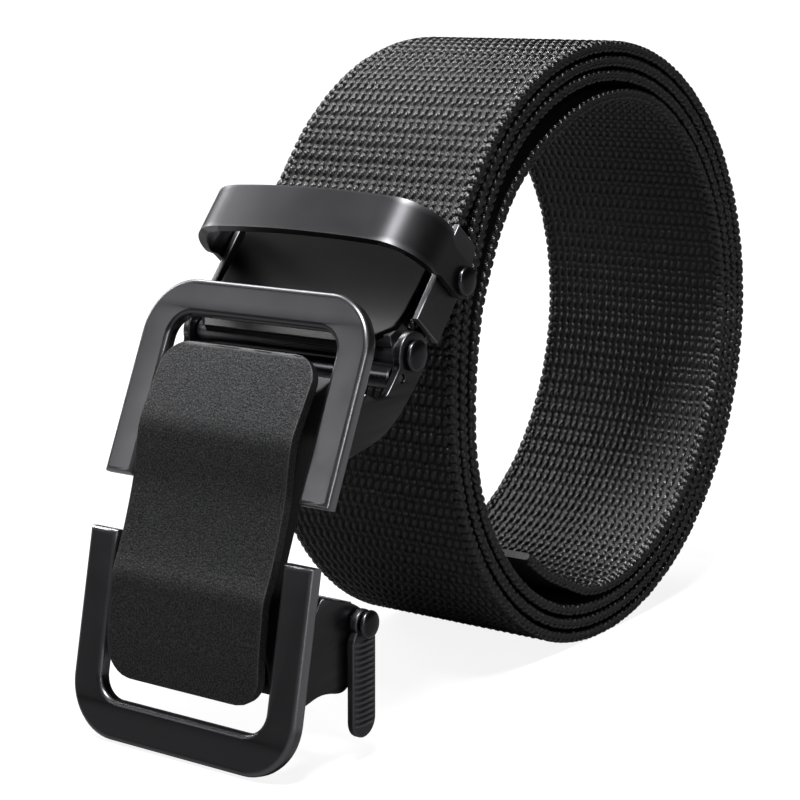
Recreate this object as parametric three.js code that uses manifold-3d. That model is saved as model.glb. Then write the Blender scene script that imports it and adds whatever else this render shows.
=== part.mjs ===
// A woven webbing belt rolled up on its edge, with a hinged black metal automatic buckle.
// Millimetres, +Z up, X across the width of the strap, the buckle towards -Y.

import * as THREE from 'three';
import { mergeVertices } from 'three/addons/utils/BufferGeometryUtils.js';
import Module from 'manifold-3d';

const wasm = await Module();
wasm.setup();

// The webbing and the roll it lies in
const strapWidth = 38;
const strapThickness = 2;
const selvageRadius = 0.5;
const coilRadius = 50;
const layerPitch = 2.3;
const coilTurns = 3.74;
const exitDirection = 140;
const coilStep = 5;
const restFlat = 7;

// Fits
const clearance = 0.3;

// The clamp on the fixed end of the strap
const clampStart = 10.5;
const clampSideLength = 16.5;
const clampWall = 1;
const clampFront = 1.5;
const clampBack = 4.3;
const clampPlate = 1;
const clampLug = 5.2;
const gripDepth = 27.5;
const gripRidges = 5;
const rampWidth = strapWidth - 2;
const rampMetal = 1.2;
const rampStart = 12;
const rampLength = 22;
const rampRise = 3.5;
const rampCorner = 5;
const knuckleRadius = 2;

// The hinge between clamp and buckle
const hingeAlong = 31.7;
const hingeInset = 0.9;
const hingePinRadius = 1;
const hingeHeadRadius = 2.35;
const rivetHeadHeight = 0.95;

// The keeper loop over the clamp
const keeperStart = 12.9;
const keeperBand = 7.6;
const keeperMetal = 1.4;
const keeperArmMetal = 1;
const keeperReach = 10.6;
const keeperBow = 1.8;
const keeperCorner = 6.5;
const keeperArmWidth = 5.3;
const keeperTaper = 2.2;
const keeperPivotAlong = 17.2;
const keeperPivotInset = 3.2;
const keeperPinRadius = 0.9;
const keeperHeadRadius = 2.2;

// The two open frames on the front of the buckle
const sideWall = 1.2;
const frameMargin = 0.5;
const frameWidth = strapWidth + 2 * (clearance + sideWall + frameMargin);
const frameLength = 30.6;
const frameThickness = 2.5;
const frameLeg = 5.4;
const upperBar = 5.5;
const lowerBar = 6;
const frameOuterRadius = 8.5;
const frameInnerRadius = 3.5;
const frameChamfer = 0.4;
const frameGap = 8.4;
const frameBend = 12.2;
const frameStep = 0.24;
const hingeDrop = 5.2;
const hingeSetback = 11.9;

// The ears and the decks behind the frames
const earRadius = 3.5;
const deckSetback = 3.9;
const deckThickness = 1.2;

// The wavy front plate and the block that carries it
const plateGap = 1.35;
const plateWidth = frameWidth - 2 * (frameLeg + plateGap);
const plateThickness = 1.7;
const plateCorner = 4.4;
const plateProud = 2.74;
const blockInset = 0.4;

// The rod that guides the strap, and the cam with its release lever
const guideRodRadius = 1.7;
const guideRodDrop = 3.8;
const guideRodAdvance = 1.3;
const guideAxleRadius = 0.6;
const camDrop = 7.8;
const camSetback = 12.2;
const camRadius = 2.6;
const camTeeth = 10;
const camToothDepth = 0.4;
const camShaftRadius = 1.1;
const camHeadRadius = 2.05;
const leverThickness = 1.5;
const leverLength = 16.9;
const leverPaddle = 15;
const leverWidth = 5.3;
const leverNeck = 4.4;
const leverHang = 11.5;
const leverRibDepth = 0.35;
const leverRibs = 11;

const roundSides = 20;

// How far each side of the roll is pressed in, in shares of one layer, by direction in degrees
const coilLean = [
  { direction: -207, lean: 0.82 },
  { direction: -200, lean: 1.0 },
  { direction: -178, lean: 1.38 },
  { direction: -153, lean: 0.62 },
  { direction: -140, lean: 0.25 },
  { direction: -108, lean: -0.5 },
  { direction: -90, lean: -0.55 },
  { direction: 0, lean: -0.39 },
  { direction: 77, lean: -0.3 },
  { direction: 140, lean: 0.2 },
];

// How far the innermost turn stands off the next one, in shares of one layer, by turns from the exit
const innerSlack = [
  { turn: 0, slack: 0 },
  { turn: 2.8, slack: 0 },
  { turn: 2.86, slack: 0 },
  { turn: 3.0, slack: 0.84 },
  { turn: 3.07, slack: 1.1 },
  { turn: 3.19, slack: 0 },
  { turn: 3.24, slack: 0 },
  { turn: 3.56, slack: 0 },
  { turn: 3.61, slack: 0 },
  { turn: 3.655, slack: 0.34 },
  { turn: 3.68, slack: 0.9 },
  { turn: 3.71, slack: 1.0 },
  { turn: 3.74, slack: 0.96 },
];

// The ramp: place in shares of its length, height in shares of its rise
const rampCurve = [
  { place: 0, height: 0.057 },
  { place: 0.18, height: 0.012 },
  { place: 0.36, height: 0 },
  { place: 0.55, height: 0.09 },
  { place: 0.73, height: 0.3 },
  { place: 0.87, height: 0.62 },
  { place: 1, height: 1 },
];

// The edge of an ear below its hinge: place in shares of frameLength, depth in shares of hingeSetback
const earNotch = [
  { place: 0.435, depth: 0.18 },
  { place: 0.441, depth: 0.445 },
  { place: 0.418, depth: 0.639 },
  { place: 0.389, depth: 0.689 },
  { place: 0.271, depth: 0.782 },
];
const earBack = [
  { place: 0.33, depth: 1.168 },
  { place: 0.484, depth: 0.992 },
  { place: 0.601, depth: 0.769 },
  { place: 0.729, depth: 0.294 },
  { place: 0.761, depth: 0.18 },
];
const upperDeck = { from: 0.47, to: 0.667 };

// The edge of a side wall of the lower frame: place in shares of frameLength, depth of camSetback
const wallEdge = [
  { place: 0.131, depth: 0.172 },
  { place: 0.154, depth: 0.566 },
  { place: 0.163, depth: 0.828 },
  { place: 0.18, depth: 1 },
  { place: 0.206, depth: 1.123 },
  { place: 0.255, depth: 1.18 },
  { place: 0.343, depth: 1.18 },
  { place: 0.484, depth: 1.123 },
  { place: 0.569, depth: 1 },
  { place: 0.592, depth: 0.861 },
  { place: 0.585, depth: 0.648 },
  { place: 0.592, depth: 0.459 },
  { place: 0.626, depth: 0.258 },
  { place: 0.641, depth: 0.172 },
];
const lowerDeck = { from: 0.17, to: 0.49 };

// The wave of the front plate: place in shares of the frame's length, height in shares of plateProud
const plateWave = [
  { frame: 'upper', place: 0.319, height: 0.376 },
  { frame: 'upper', place: 0.431, height: 0.58 },
  { frame: 'upper', place: 0.614, height: 0.869 },
  { frame: 'upper', place: 0.741, height: 1 },
  { frame: 'upper', place: 0.855, height: 0.76 },
  { frame: 'upper', place: 1.014, height: 0.321 },
  { frame: 'lower', place: -0.058, height: 0.02 },
  { frame: 'lower', place: 0.083, height: 0.29 },
  { frame: 'lower', place: 0.192, height: 0.562 },
  { frame: 'lower', place: 0.296, height: 0.53 },
  { frame: 'lower', place: 0.488, height: 0.365 },
  { frame: 'lower', place: 0.689, height: -0.06 },
];

const degrees = Math.PI / 180;

// A smooth value between the rows of a table
function tableValue(rows, key, value, at) {
  let i = 0;
  while (i < rows.length - 2 && at > rows[i + 1][key]) i += 1;
  const slope = (a, b) => (rows[b][value] - rows[a][value]) / (rows[b][key] - rows[a][key]);
  const span = rows[i + 1][key] - rows[i][key];
  const share = (at - rows[i][key]) / span;
  const here = slope(i, i + 1);
  const before = i > 0 ? (slope(i - 1, i) + here) / 2 : here;
  const after = i < rows.length - 2 ? (slope(i + 1, i + 2) + here) / 2 : here;
  const a = rows[i][value];
  const b = rows[i + 1][value];
  const cubic = share * share * (3 - 2 * share);
  const lift = share * (1 - share) * (1 - share) * before * span;
  const fall = share * share * (share - 1) * after * span;
  return a + (b - a) * cubic + lift + fall;
}

// A flat coordinate system in the side view: along and out are unit vectors in (y, z)
class SidePlane {
  constructor(origin, angle, outSign) {
    this.origin = origin;
    this.along = new THREE.Vector2(Math.cos(angle), Math.sin(angle));
    this.out = new THREE.Vector2(-this.along.y * outSign, this.along.x * outSign);
  }

  at(along, out) {
    return this.origin.clone().addScaledVector(this.along, along).addScaledVector(this.out, out);
  }

  points(pairs) {
    return pairs.map(([along, out]) => this.at(along, out));
  }
}

// Solids and joins

function toSolid(geometry) {
  const bare = geometry.clone();
  bare.deleteAttribute('normal');
  bare.deleteAttribute('uv');
  const merged = mergeVertices(bare, 1e-4);
  return new wasm.Manifold(new wasm.Mesh({
    numProp: 3,
    vertProperties: new Float32Array(merged.attributes.position.array),
    triVerts: new Uint32Array(merged.index.array),
  }));
}

function toGeometry(solid) {
  const mesh = solid.getMesh();
  const geometry = new THREE.BufferGeometry();
  geometry.setAttribute('position', new THREE.BufferAttribute(new Float32Array(mesh.vertProperties), 3));
  geometry.setIndex(new THREE.BufferAttribute(new Uint32Array(mesh.triVerts), 1));
  return geometry;
}

function join(...solids) {
  return solids.reduce((sum, solid) => sum.add(solid));
}

// A side-view outline made solid between two places across the width
function slab(outline, fromX, toX, holes = []) {
  const shape = new THREE.Shape(outline);
  for (const hole of holes) shape.holes.push(new THREE.Path(hole));
  const geometry = new THREE.ExtrudeGeometry(shape, { depth: toX - fromX, bevelEnabled: false });
  geometry.applyMatrix4(new THREE.Matrix4().set(
    0, 0, 1, fromX,
    1, 0, 0, 0,
    0, 1, 0, 0,
    0, 0, 0, 1,
  ));
  return toSolid(geometry);
}

function circle(centre, radius, sides = roundSides) {
  const points = [];
  for (let i = 0; i < sides; i += 1) {
    const turn = (2 * Math.PI * i) / sides;
    points.push(new THREE.Vector2(centre.x + radius * Math.cos(turn), centre.y + radius * Math.sin(turn)));
  }
  return points;
}

function rod(centre, radius, fromX, toX) {
  return slab(circle(centre, radius), fromX, toX);
}

// A rivet head with a low dome, on the side of the part that side points to
function rivetHead(centre, radius, innerX, side) {
  const dome = [
    new THREE.Vector2(0, 0),
    new THREE.Vector2(radius, 0),
    new THREE.Vector2(radius, rivetHeadHeight * 0.45),
    new THREE.Vector2(radius * 0.8, rivetHeadHeight * 0.85),
    new THREE.Vector2(radius * 0.45, rivetHeadHeight),
    new THREE.Vector2(0, rivetHeadHeight),
  ];
  const geometry = new THREE.LatheGeometry(dome, roundSides);
  geometry.rotateZ(-side * 90 * degrees);
  geometry.translate(innerX, centre.x, centre.y);
  return toSolid(geometry);
}

// The same run moved sideways: a positive distance goes to the left of its direction
function offset(path, distance) {
  return path.map((point, i) => {
    const before = path[Math.max(i - 1, 0)];
    const after = path[Math.min(i + 1, path.length - 1)];
    const along = after.clone().sub(before).normalize();
    return new THREE.Vector2(point.x - along.y * distance, point.y + along.x * distance);
  });
}

// The strap: a spiral of four layers and a straight end in the clamp

const lastLean = coilLean[coilLean.length - 1];
const coilLeanRound = [
  { direction: lastLean.direction - 360, lean: lastLean.lean },
  ...coilLean,
  { direction: coilLean[0].direction + 360, lean: coilLean[0].lean },
];

function coilPoint(turn) {
  const direction = exitDirection - turn * 360;
  const around = ((direction - exitDirection) % 360) + exitDirection;
  const lean = tableValue(coilLeanRound, 'direction', 'lean', around);
  const slack = tableValue(innerSlack, 'turn', 'slack', turn);
  const radius = coilRadius - layerPitch * (turn + lean + slack) - strapThickness / 2;
  return new THREE.Vector2(radius * Math.cos(direction * degrees), radius * Math.sin(direction * degrees));
}

const coilStart = coilPoint(0);
const strapEnd = new SidePlane(
  coilStart.clone().setLength(coilStart.length() + strapThickness / 2),
  (exitDirection + 90) * degrees,
  -1,
);

// The lowest point of the roll, pressed flat over a short length by its own weight
let lowest = 0;
for (let i = 0; i <= 360; i += 1) {
  lowest = Math.min(lowest, coilPoint(i / 360).y - strapThickness / 2);
}
const coilBottom = lowest + restFlat ** 2 / (8 * coilRadius);

function makeStrap() {
  const middle = [strapEnd.at(gripDepth, -strapThickness / 2)];
  const steps = Math.round((coilTurns * 360) / coilStep);
  for (let i = 0; i <= steps; i += 1) middle.push(coilPoint((coilTurns * i) / steps));
  const outer = offset(middle, strapThickness / 2);
  const inner = offset(middle, -strapThickness / 2);
  for (const point of outer) point.y = Math.max(point.y, coilBottom);
  const shape = new THREE.Shape([...outer, ...inner.reverse()]);
  const geometry = new THREE.ExtrudeGeometry(shape, {
    depth: strapWidth - 2 * selvageRadius,
    bevelEnabled: true,
    bevelThickness: selvageRadius,
    bevelSize: selvageRadius,
    bevelOffset: -selvageRadius,
    bevelSegments: 1,
  });
  geometry.applyMatrix4(new THREE.Matrix4().set(
    0, 0, 1, selvageRadius - strapWidth / 2,
    1, 0, 0, 0,
    0, 1, 0, 0,
    0, 0, 0, 1,
  ));
  return toSolid(geometry);
}

// Widths that follow from the strap
const channelHalf = strapWidth / 2 + clearance;
const clampHalf = channelHalf + clampWall;
const armInner = clampHalf + clearance;
const armOuter = armInner + keeperArmMetal;
const earOuter = channelHalf + sideWall;

// Places in the side view
const hinge = strapEnd.at(hingeAlong, -hingeInset);
const keeperPivot = strapEnd.at(keeperPivotAlong, -keeperPivotInset);

// The buckle leans outwards until the foot of its lower frame reaches the floor under the roll
const bend = frameBend * degrees;
const lowerStart = new THREE.Vector2(frameLength + frameGap - hingeDrop, frameStep - hingeSetback);
const footLocal = new THREE.Vector2(
  lowerStart.x + frameLength * Math.cos(bend) - frameThickness * Math.sin(bend),
  lowerStart.y + frameLength * Math.sin(bend) + frameThickness * Math.cos(bend),
);
const reach = Math.min(1, (hinge.y - coilBottom) / footLocal.length());
const buckleTilt = Math.atan2(footLocal.y, footLocal.x) + Math.acos(reach);

// Down the front of each frame, and back from its front face
const buckle = new SidePlane(hinge, -Math.PI / 2 - buckleTilt, 1);
const upper = new SidePlane(buckle.at(-hingeDrop, -hingeSetback), -Math.PI / 2 - buckleTilt, 1);
const lower = new SidePlane(buckle.at(lowerStart.x, lowerStart.y), -Math.PI / 2 - buckleTilt + bend, 1);
const guideAxis = upper.at(hingeDrop + guideRodDrop, hingeSetback - guideRodAdvance);
const camAxis = lower.at(camDrop, camSetback);

// The clamp: a channel round the end of the strap, closed below by the hinge knuckle

function rampFront() {
  return rampCurve.map((row) => strapEnd.at(
    rampStart + row.place * rampLength,
    clampFront + row.height * rampRise,
  ));
}

function makeClamp() {
  const sideEnd = clampStart + clampSideLength;
  const side = strapEnd.points([
    [clampStart, -clampBack],
    [clampStart + 2.5, -clampLug],
    [sideEnd, -clampLug],
    [sideEnd, clampFront],
    [clampStart, clampFront],
  ]);
  const hole = circle(keeperPivot, keeperPinRadius + clearance);
  const right = slab(side, channelHalf, clampHalf, [hole]);
  const left = slab(side, -clampHalf, -channelHalf, [hole]);
  const plateTop = -clampBack + clampPlate;
  const floor = slab(strapEnd.points([
    [clampStart, -clampBack],
    [sideEnd, -clampBack],
    [sideEnd, plateTop],
    [clampStart, plateTop],
  ]), -channelHalf - clearance / 3, channelHalf + clearance / 3);
  const ridges = [];
  const ridgePitch = clampSideLength / (gripRidges + 1);
  for (let i = 1; i <= gripRidges; i += 1) {
    const along = clampStart + i * ridgePitch;
    ridges.push(slab(strapEnd.points([
      [along - 0.8, plateTop - 0.1],
      [along + 0.8, plateTop - 0.1],
      [along, -strapThickness - clearance],
    ]), -rampWidth / 2, rampWidth / 2));
  }
  const front = rampFront();
  const ramp = slab([...front, ...offset(front, rampMetal).reverse()], -rampWidth / 2, rampWidth / 2);
  const rampEnd = rampStart + rampLength;
  const cornerCuts = [1, -1].map((hand) => rampCornerCut(rampEnd, hand));
  const backNear = hingeInset + knuckleRadius;
  const web = slab(strapEnd.points([
    [gripDepth + clearance, -clampBack],
    [hingeAlong - knuckleRadius, -clampBack],
    [hingeAlong, -backNear],
    [hingeAlong + 0.3, knuckleRadius - hingeInset - 0.1],
    [hingeAlong - 0.7, clampFront + rampRise * 0.4],
    [gripDepth + clearance, clampFront - rampMetal * 0.2],
  ]), -rampWidth / 2, rampWidth / 2);
  const bridge = slab(strapEnd.points([
    [sideEnd - 0.1, -clampBack],
    [gripDepth + 0.4, -clampBack],
    [gripDepth + 0.4, plateTop],
    [sideEnd - 0.1, plateTop],
  ]), -rampWidth / 2, rampWidth / 2);
  const knuckle = rod(hinge, knuckleRadius, -strapWidth / 2, strapWidth / 2);
  const bore = rod(hinge, hingePinRadius + clearance, -strapWidth, strapWidth);
  return join(right, left, floor, bridge, ...ridges, ramp.subtract(join(...cornerCuts)), web, knuckle)
    .subtract(bore);
}

// The slanted cut at each lower corner of the ramp
function rampCornerCut(rampEnd, hand) {
  const edge = (hand * rampWidth) / 2;
  const triangle = [
    new THREE.Vector2(edge - hand * rampCorner, rampEnd + 1),
    new THREE.Vector2(edge + hand, rampEnd + 1),
    new THREE.Vector2(edge + hand, rampEnd - rampCorner),
  ];
  const depth = rampRise + rampMetal + 1;
  const geometry = new THREE.ExtrudeGeometry(new THREE.Shape(triangle), { depth, bevelEnabled: false });
  const from = new SidePlane(strapEnd.at(0, clampFront + rampRise * 0.2 - 0.2), 0, 1);
  from.along = strapEnd.along;
  from.out = strapEnd.out;
  return inPlane(geometry, from);
}

// The keeper: a bowed band on two arms that turn on the rivets

function makeKeeper() {
  const half = armOuter;
  const corner = keeperCorner;
  const bandPath = [];
  const steps = 8;
  const rise = (x) => keeperReach + keeperBow * (1 - (x / half) ** 2);
  bandPath.push([half, -keeperPivotInset]);
  for (let i = 0; i <= steps; i += 1) {
    const turn = (90 * degrees * i) / steps;
    const x = half - corner + corner * Math.cos(turn);
    bandPath.push([x, rise(x) - corner + corner * Math.sin(turn)]);
  }
  for (let i = 1; i < steps; i += 1) {
    const x = (half - corner) * (1 - (2 * i) / steps);
    bandPath.push([x, rise(x)]);
  }
  for (let i = steps; i >= 0; i -= 1) {
    const turn = (90 * degrees * i) / steps;
    const x = half - corner + corner * Math.cos(turn);
    bandPath.push([-x, rise(x) - corner + corner * Math.sin(turn)]);
  }
  bandPath.push([-half, -keeperPivotInset]);
  const outer = bandPath.map(([x, out]) => new THREE.Vector2(x, out));
  const innerHalf = armInner;
  const inner = outer.map((point) => {
    const share = innerHalf / half;
    return new THREE.Vector2(point.x * share, point.y > 0 ? point.y - keeperMetal : point.y);
  });
  const shape = new THREE.Shape([...outer, ...inner.reverse()]);
  const length = keeperBand + 2 * keeperArmWidth;
  const geometry = new THREE.ExtrudeGeometry(shape, { depth: length, bevelEnabled: false });
  const from = strapEnd.at(keeperStart, 0);
  const basis = new THREE.Matrix4().set(
    1, 0, 0, 0,
    0, strapEnd.out.x, strapEnd.along.x, from.x,
    0, strapEnd.out.y, strapEnd.along.y, from.y,
    0, 0, 0, 1,
  );
  geometry.applyMatrix4(basis);
  if (basis.determinant() < 0) flip(geometry);
  const arch = toSolid(geometry);
  const armLow = keeperPivotAlong - keeperArmWidth / 2;
  const armHigh = keeperPivotAlong + keeperArmWidth / 2;
  const bandEnd = keeperStart + keeperBand;
  const shoulder = keeperReach - corner;
  const profile = strapEnd.points([
    [keeperStart, keeperReach + keeperBow + 1],
    [keeperStart, shoulder],
    [armLow - keeperTaper / 2, shoulder - keeperTaper / 2],
    [armLow, shoulder - keeperTaper],
    [armLow, -keeperPivotInset],
    ...arc(keeperPivotAlong, -keeperPivotInset, keeperArmWidth / 2, 180, 360, 8),
    [armHigh, -keeperPivotInset],
    [armHigh, shoulder - keeperTaper],
    [Math.max(bandEnd, armHigh), shoulder],
    [bandEnd, keeperReach + keeperBow + 1],
  ]);
  const side = slab(profile, -strapWidth, strapWidth);
  const armEnd = (fromX, toX) => rod(keeperPivot, keeperArmWidth / 2, fromX, toX);
  const bore = rod(keeperPivot, keeperPinRadius + clearance, -strapWidth, strapWidth);
  return join(
    arch.intersect(side),
    armEnd(armInner, armOuter),
    armEnd(-armOuter, -armInner),
  ).subtract(bore);
}

// Points on an arc between two turns, for an outline given in pairs
function arc(along, out, radius, fromTurn, toTurn, steps) {
  const points = [];
  for (let i = 1; i < steps; i += 1) {
    const turn = (fromTurn + ((toTurn - fromTurn) * i) / steps) * degrees;
    points.push([along + radius * Math.cos(turn), out + radius * Math.sin(turn)]);
  }
  return points;
}

function flip(geometry) {
  const index = geometry.index ? geometry.index.array : null;
  const position = geometry.attributes.position;
  if (index) {
    for (let i = 0; i < index.length; i += 3) [index[i], index[i + 1]] = [index[i + 1], index[i]];
    return;
  }
  const array = position.array;
  for (let i = 0; i < array.length; i += 9) {
    for (let k = 0; k < 3; k += 1) [array[i + k], array[i + 3 + k]] = [array[i + 3 + k], array[i + k]];
  }
}

// An open frame: a bar with two legs, in its own plane, legs pointing along the plane when up is 1

function frameBody(plane, bar, barFirst) {
  const half = frameWidth / 2;
  const turnOuter = frameOuterRadius;
  const turnInner = frameInnerRadius;
  const place = (x, down) => new THREE.Vector2(x, barFirst ? down : frameLength - down);
  const outline = [place(half, frameLength), place(half, turnOuter)];
  const corner = (x, down, radius, fromTurn, toTurn) => {
    const steps = 6;
    for (let i = 0; i <= steps; i += 1) {
      const turn = (fromTurn + ((toTurn - fromTurn) * i) / steps) * degrees;
      outline.push(place(x + radius * Math.cos(turn), down - radius * Math.sin(turn)));
    }
  };
  corner(half - turnOuter, turnOuter, turnOuter, 0, 90);
  corner(turnOuter - half, turnOuter, turnOuter, 90, 180);
  outline.push(place(-half, frameLength));
  outline.push(place(frameLeg - half, frameLength));
  corner(frameLeg - half + turnInner, bar + turnInner, turnInner, 180, 90);
  corner(half - frameLeg - turnInner, bar + turnInner, turnInner, 90, 0);
  outline.push(place(half - frameLeg, frameLength));
  const clean = outline.filter((point, i) => i === 0 || point.distanceTo(outline[i - 1]) > 0.01);
  const geometry = new THREE.ExtrudeGeometry(new THREE.Shape(clean), {
    depth: frameThickness - 2 * frameChamfer,
    bevelEnabled: true,
    bevelThickness: frameChamfer,
    bevelSize: frameChamfer,
    bevelOffset: -frameChamfer,
    bevelSegments: 1,
  });
  geometry.translate(0, 0, frameChamfer);
  return inPlane(geometry, plane);
}

// A shape drawn in (x, along) and raised out of a plane, brought to its place
function inPlane(geometry, plane) {
  const basis = new THREE.Matrix4().set(
    1, 0, 0, 0,
    0, plane.along.x, plane.out.x, plane.origin.x,
    0, plane.along.y, plane.out.y, plane.origin.y,
    0, 0, 0, 1,
  );
  geometry.applyMatrix4(basis);
  if (basis.determinant() < 0) flip(geometry);
  return toSolid(geometry);
}

function pairOfWalls(outline, holes = []) {
  return join(
    slab(outline, channelHalf, earOuter, holes),
    slab(outline, -earOuter, -channelHalf, holes),
  );
}

// A crossbar between the walls, and an edge from its table
function deck(plane, span) {
  return slab(plane.points([
    [span.from * frameLength, deckSetback],
    [span.to * frameLength, deckSetback],
    [span.to * frameLength, deckSetback + deckThickness],
    [span.from * frameLength, deckSetback + deckThickness],
  ]), -earOuter, earOuter);
}

function edgePoints(plane, rows, setback) {
  return plane.points(rows.map((row) => [row.place * frameLength, row.depth * setback]));
}

function makeUpperFrame() {
  const ear = [
    ...edgePoints(upper, earNotch, hingeSetback),
    ...upper.points(arc(hingeDrop, hingeSetback, earRadius, -50, -285, 12)),
    ...edgePoints(upper, earBack, hingeSetback),
  ];
  const walls = pairOfWalls(ear, [
    circle(hinge, hingePinRadius + clearance),
    circle(guideAxis, guideAxleRadius + clearance),
  ]);
  return join(frameBody(upper, upperBar, true), walls, deck(upper, upperDeck));
}

function makeLowerFrame() {
  const wall = edgePoints(lower, wallEdge, camSetback);
  const walls = pairOfWalls(wall, [circle(camAxis, camShaftRadius + clearance)]);
  return join(frameBody(lower, lowerBar, false), walls, deck(lower, lowerDeck));
}

// The front plate follows one wave past both frames

function wavePath() {
  const points = plateWave.map((row) => {
    const plane = row.frame === 'upper' ? upper : lower;
    return plane.at(row.place * frameLength, -row.height * plateProud);
  });
  return new THREE.SplineCurve(points).getSpacedPoints(2 * plateWave.length);
}

function makeFrontPlate() {
  const front = wavePath();
  const back = offset(front, plateThickness);
  const body = slab([...front, ...back.reverse()], -plateWidth / 2, plateWidth / 2);
  const first = front[0];
  const last = front[front.length - 1];
  const chord = last.clone().sub(first);
  const length = chord.length();
  const facing = new SidePlane(first, Math.atan2(chord.y, chord.x), 1);
  const half = plateWidth / 2;
  const outline = new THREE.Shape();
  outline.moveTo(-half, plateCorner);
  outline.lineTo(-half, length - plateCorner);
  outline.quadraticCurveTo(-half, length, plateCorner - half, length);
  outline.lineTo(half - plateCorner, length);
  outline.quadraticCurveTo(half, length, half, length - plateCorner);
  outline.lineTo(half, plateCorner);
  outline.quadraticCurveTo(half, 0, half - plateCorner, 0);
  outline.lineTo(plateCorner - half, 0);
  outline.quadraticCurveTo(-half, 0, -half, plateCorner);
  const reachOut = 5 * plateProud;
  const cutter = new THREE.ExtrudeGeometry(outline, { depth: 2 * reachOut, bevelEnabled: false, curveSegments: 6 });
  cutter.translate(0, 0, -reachOut);
  return body.intersect(inPlane(cutter, facing));
}

// The block behind the plate, flat against the two decks
function makeBlock() {
  const front = offset(wavePath(), plateThickness + clearance);
  const margin = plateCorner * 0.45;
  const top = plateWave[0].place * frameLength + margin;
  const bottom = plateWave[plateWave.length - 1].place * frameLength - margin;
  const backFace = deckSetback - clearance;
  const limits = slab([
    upper.at(top, -plateProud * 3),
    upper.at(top, backFace),
    upper.at(frameLength, backFace),
    lower.at(0, backFace),
    lower.at(bottom, backFace),
    lower.at(bottom, -plateProud * 3),
  ], -plateWidth / 2 + blockInset, plateWidth / 2 - blockInset);
  const span = [...front, lower.at(bottom + 8, backFace + 6), upper.at(top - 8, backFace + 6)];
  return limits.intersect(slab(span, -plateWidth, plateWidth));
}

// Turned pieces: hinge pin, keeper rivets, guide rod, cam and lever

function makeHingePin() {
  const seat = earOuter + clearance;
  const end = seat + rivetHeadHeight / 2;
  return join(
    rod(hinge, hingePinRadius, -end, end),
    rivetHead(hinge, hingeHeadRadius, seat, 1),
    rivetHead(hinge, hingeHeadRadius, -seat, -1),
  );
}

function makeKeeperRivet(side) {
  const seat = armOuter + clearance;
  const end = seat + rivetHeadHeight / 2;
  const inner = channelHalf + clearance * 1.5;
  const shank = side > 0
    ? rod(keeperPivot, keeperPinRadius, inner, end)
    : rod(keeperPivot, keeperPinRadius, -end, -inner);
  return join(shank, rivetHead(keeperPivot, keeperHeadRadius, side * seat, side));
}

function makeGuideRod() {
  const axleEnd = earOuter - clearance;
  return join(
    rod(guideAxis, guideRodRadius, -strapWidth / 2, strapWidth / 2),
    rod(guideAxis, guideAxleRadius, -axleEnd, axleEnd),
  );
}

const leverInner = earOuter + clearance;
const leverOuter = leverInner + leverThickness;

function makeCam() {
  const teeth = [];
  for (let i = 0; i < 2 * camTeeth; i += 1) {
    const turn = (Math.PI * i) / camTeeth;
    const radius = i % 2 === 0 ? camRadius : camRadius - camToothDepth;
    teeth.push(new THREE.Vector2(camAxis.x + radius * Math.cos(turn), camAxis.y + radius * Math.sin(turn)));
  }
  const seat = leverOuter + clearance;
  const leftSeat = -earOuter - clearance;
  const sink = rivetHeadHeight / 2;
  return join(
    slab(teeth, -strapWidth / 2, strapWidth / 2),
    rod(camAxis, camShaftRadius, leftSeat - sink, seat + sink),
    rivetHead(camAxis, camHeadRadius, seat, 1),
    rivetHead(camAxis, camHeadRadius, leftSeat, -1),
  );
}

function makeLever() {
  const hang = new SidePlane(camAxis, -Math.PI / 2 - buckleTilt + bend + leverHang * degrees, 1);
  const half = leverWidth / 2;
  const paddleTop = leverLength - leverPaddle;
  const outline = hang.points([
    ...arc(0, 0, camHeadRadius, 60, 300, 12),
    [paddleTop, -leverNeck / 2],
    [paddleTop + 0.5, -half],
    [leverLength - half, -half],
    ...arc(leverLength - half, 0, half, -90, 90, 8),
    [leverLength - half, half],
    [paddleTop + 0.5, half],
    [paddleTop, leverNeck / 2],
  ]);
  const blank = slab(outline, leverInner, leverOuter, [circle(camAxis, camShaftRadius + clearance)]);
  const grooves = [];
  const pitch = (leverPaddle - 3) / leverRibs;
  for (let i = 0; i < leverRibs; i += 1) {
    const start = paddleTop + 2 + i * pitch;
    grooves.push(slab(hang.points([
      [start, -leverWidth],
      [start + pitch * 0.4, -leverWidth],
      [start + pitch * 0.4, leverWidth],
      [start, leverWidth],
    ]), leverOuter - leverRibDepth, leverOuter + 1));
  }
  return blank.subtract(join(...grooves));
}

// Finishes, as the photograph shows them

const webbing = new THREE.MeshStandardMaterial({ color: 0x191a1b, roughness: 0.85, metalness: 0 });
const satinBlack = new THREE.MeshStandardMaterial({ color: 0x3a3a3b, roughness: 0.35, metalness: 0.9 });
const blastedBlack = new THREE.MeshStandardMaterial({ color: 0x3c3c3d, roughness: 0.6, metalness: 0.8 });
const darkSteel = new THREE.MeshStandardMaterial({ color: 0x2a2a2b, roughness: 0.4, metalness: 0.9 });

const belt = new THREE.Group();

function add(name, solid, material) {
  const mesh = new THREE.Mesh(toGeometry(solid), material);
  mesh.name = name;
  belt.add(mesh);
}

add('strap', makeStrap(), webbing);
add('clamp', makeClamp(), satinBlack);
add('keeper', makeKeeper(), satinBlack);
add('keeper_rivet_right', makeKeeperRivet(1), darkSteel);
add('keeper_rivet_left', makeKeeperRivet(-1), darkSteel);
add('hinge_pin', makeHingePin(), darkSteel);
add('upper_frame', makeUpperFrame(), satinBlack);
add('lower_frame', makeLowerFrame(), satinBlack);
add('plate_block', makeBlock(), darkSteel);
add('front_plate', makeFrontPlate(), blastedBlack);
add('guide_rod', makeGuideRod(), darkSteel);
add('cam', makeCam(), darkSteel);
add('release_lever', makeLever(), satinBlack);

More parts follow.
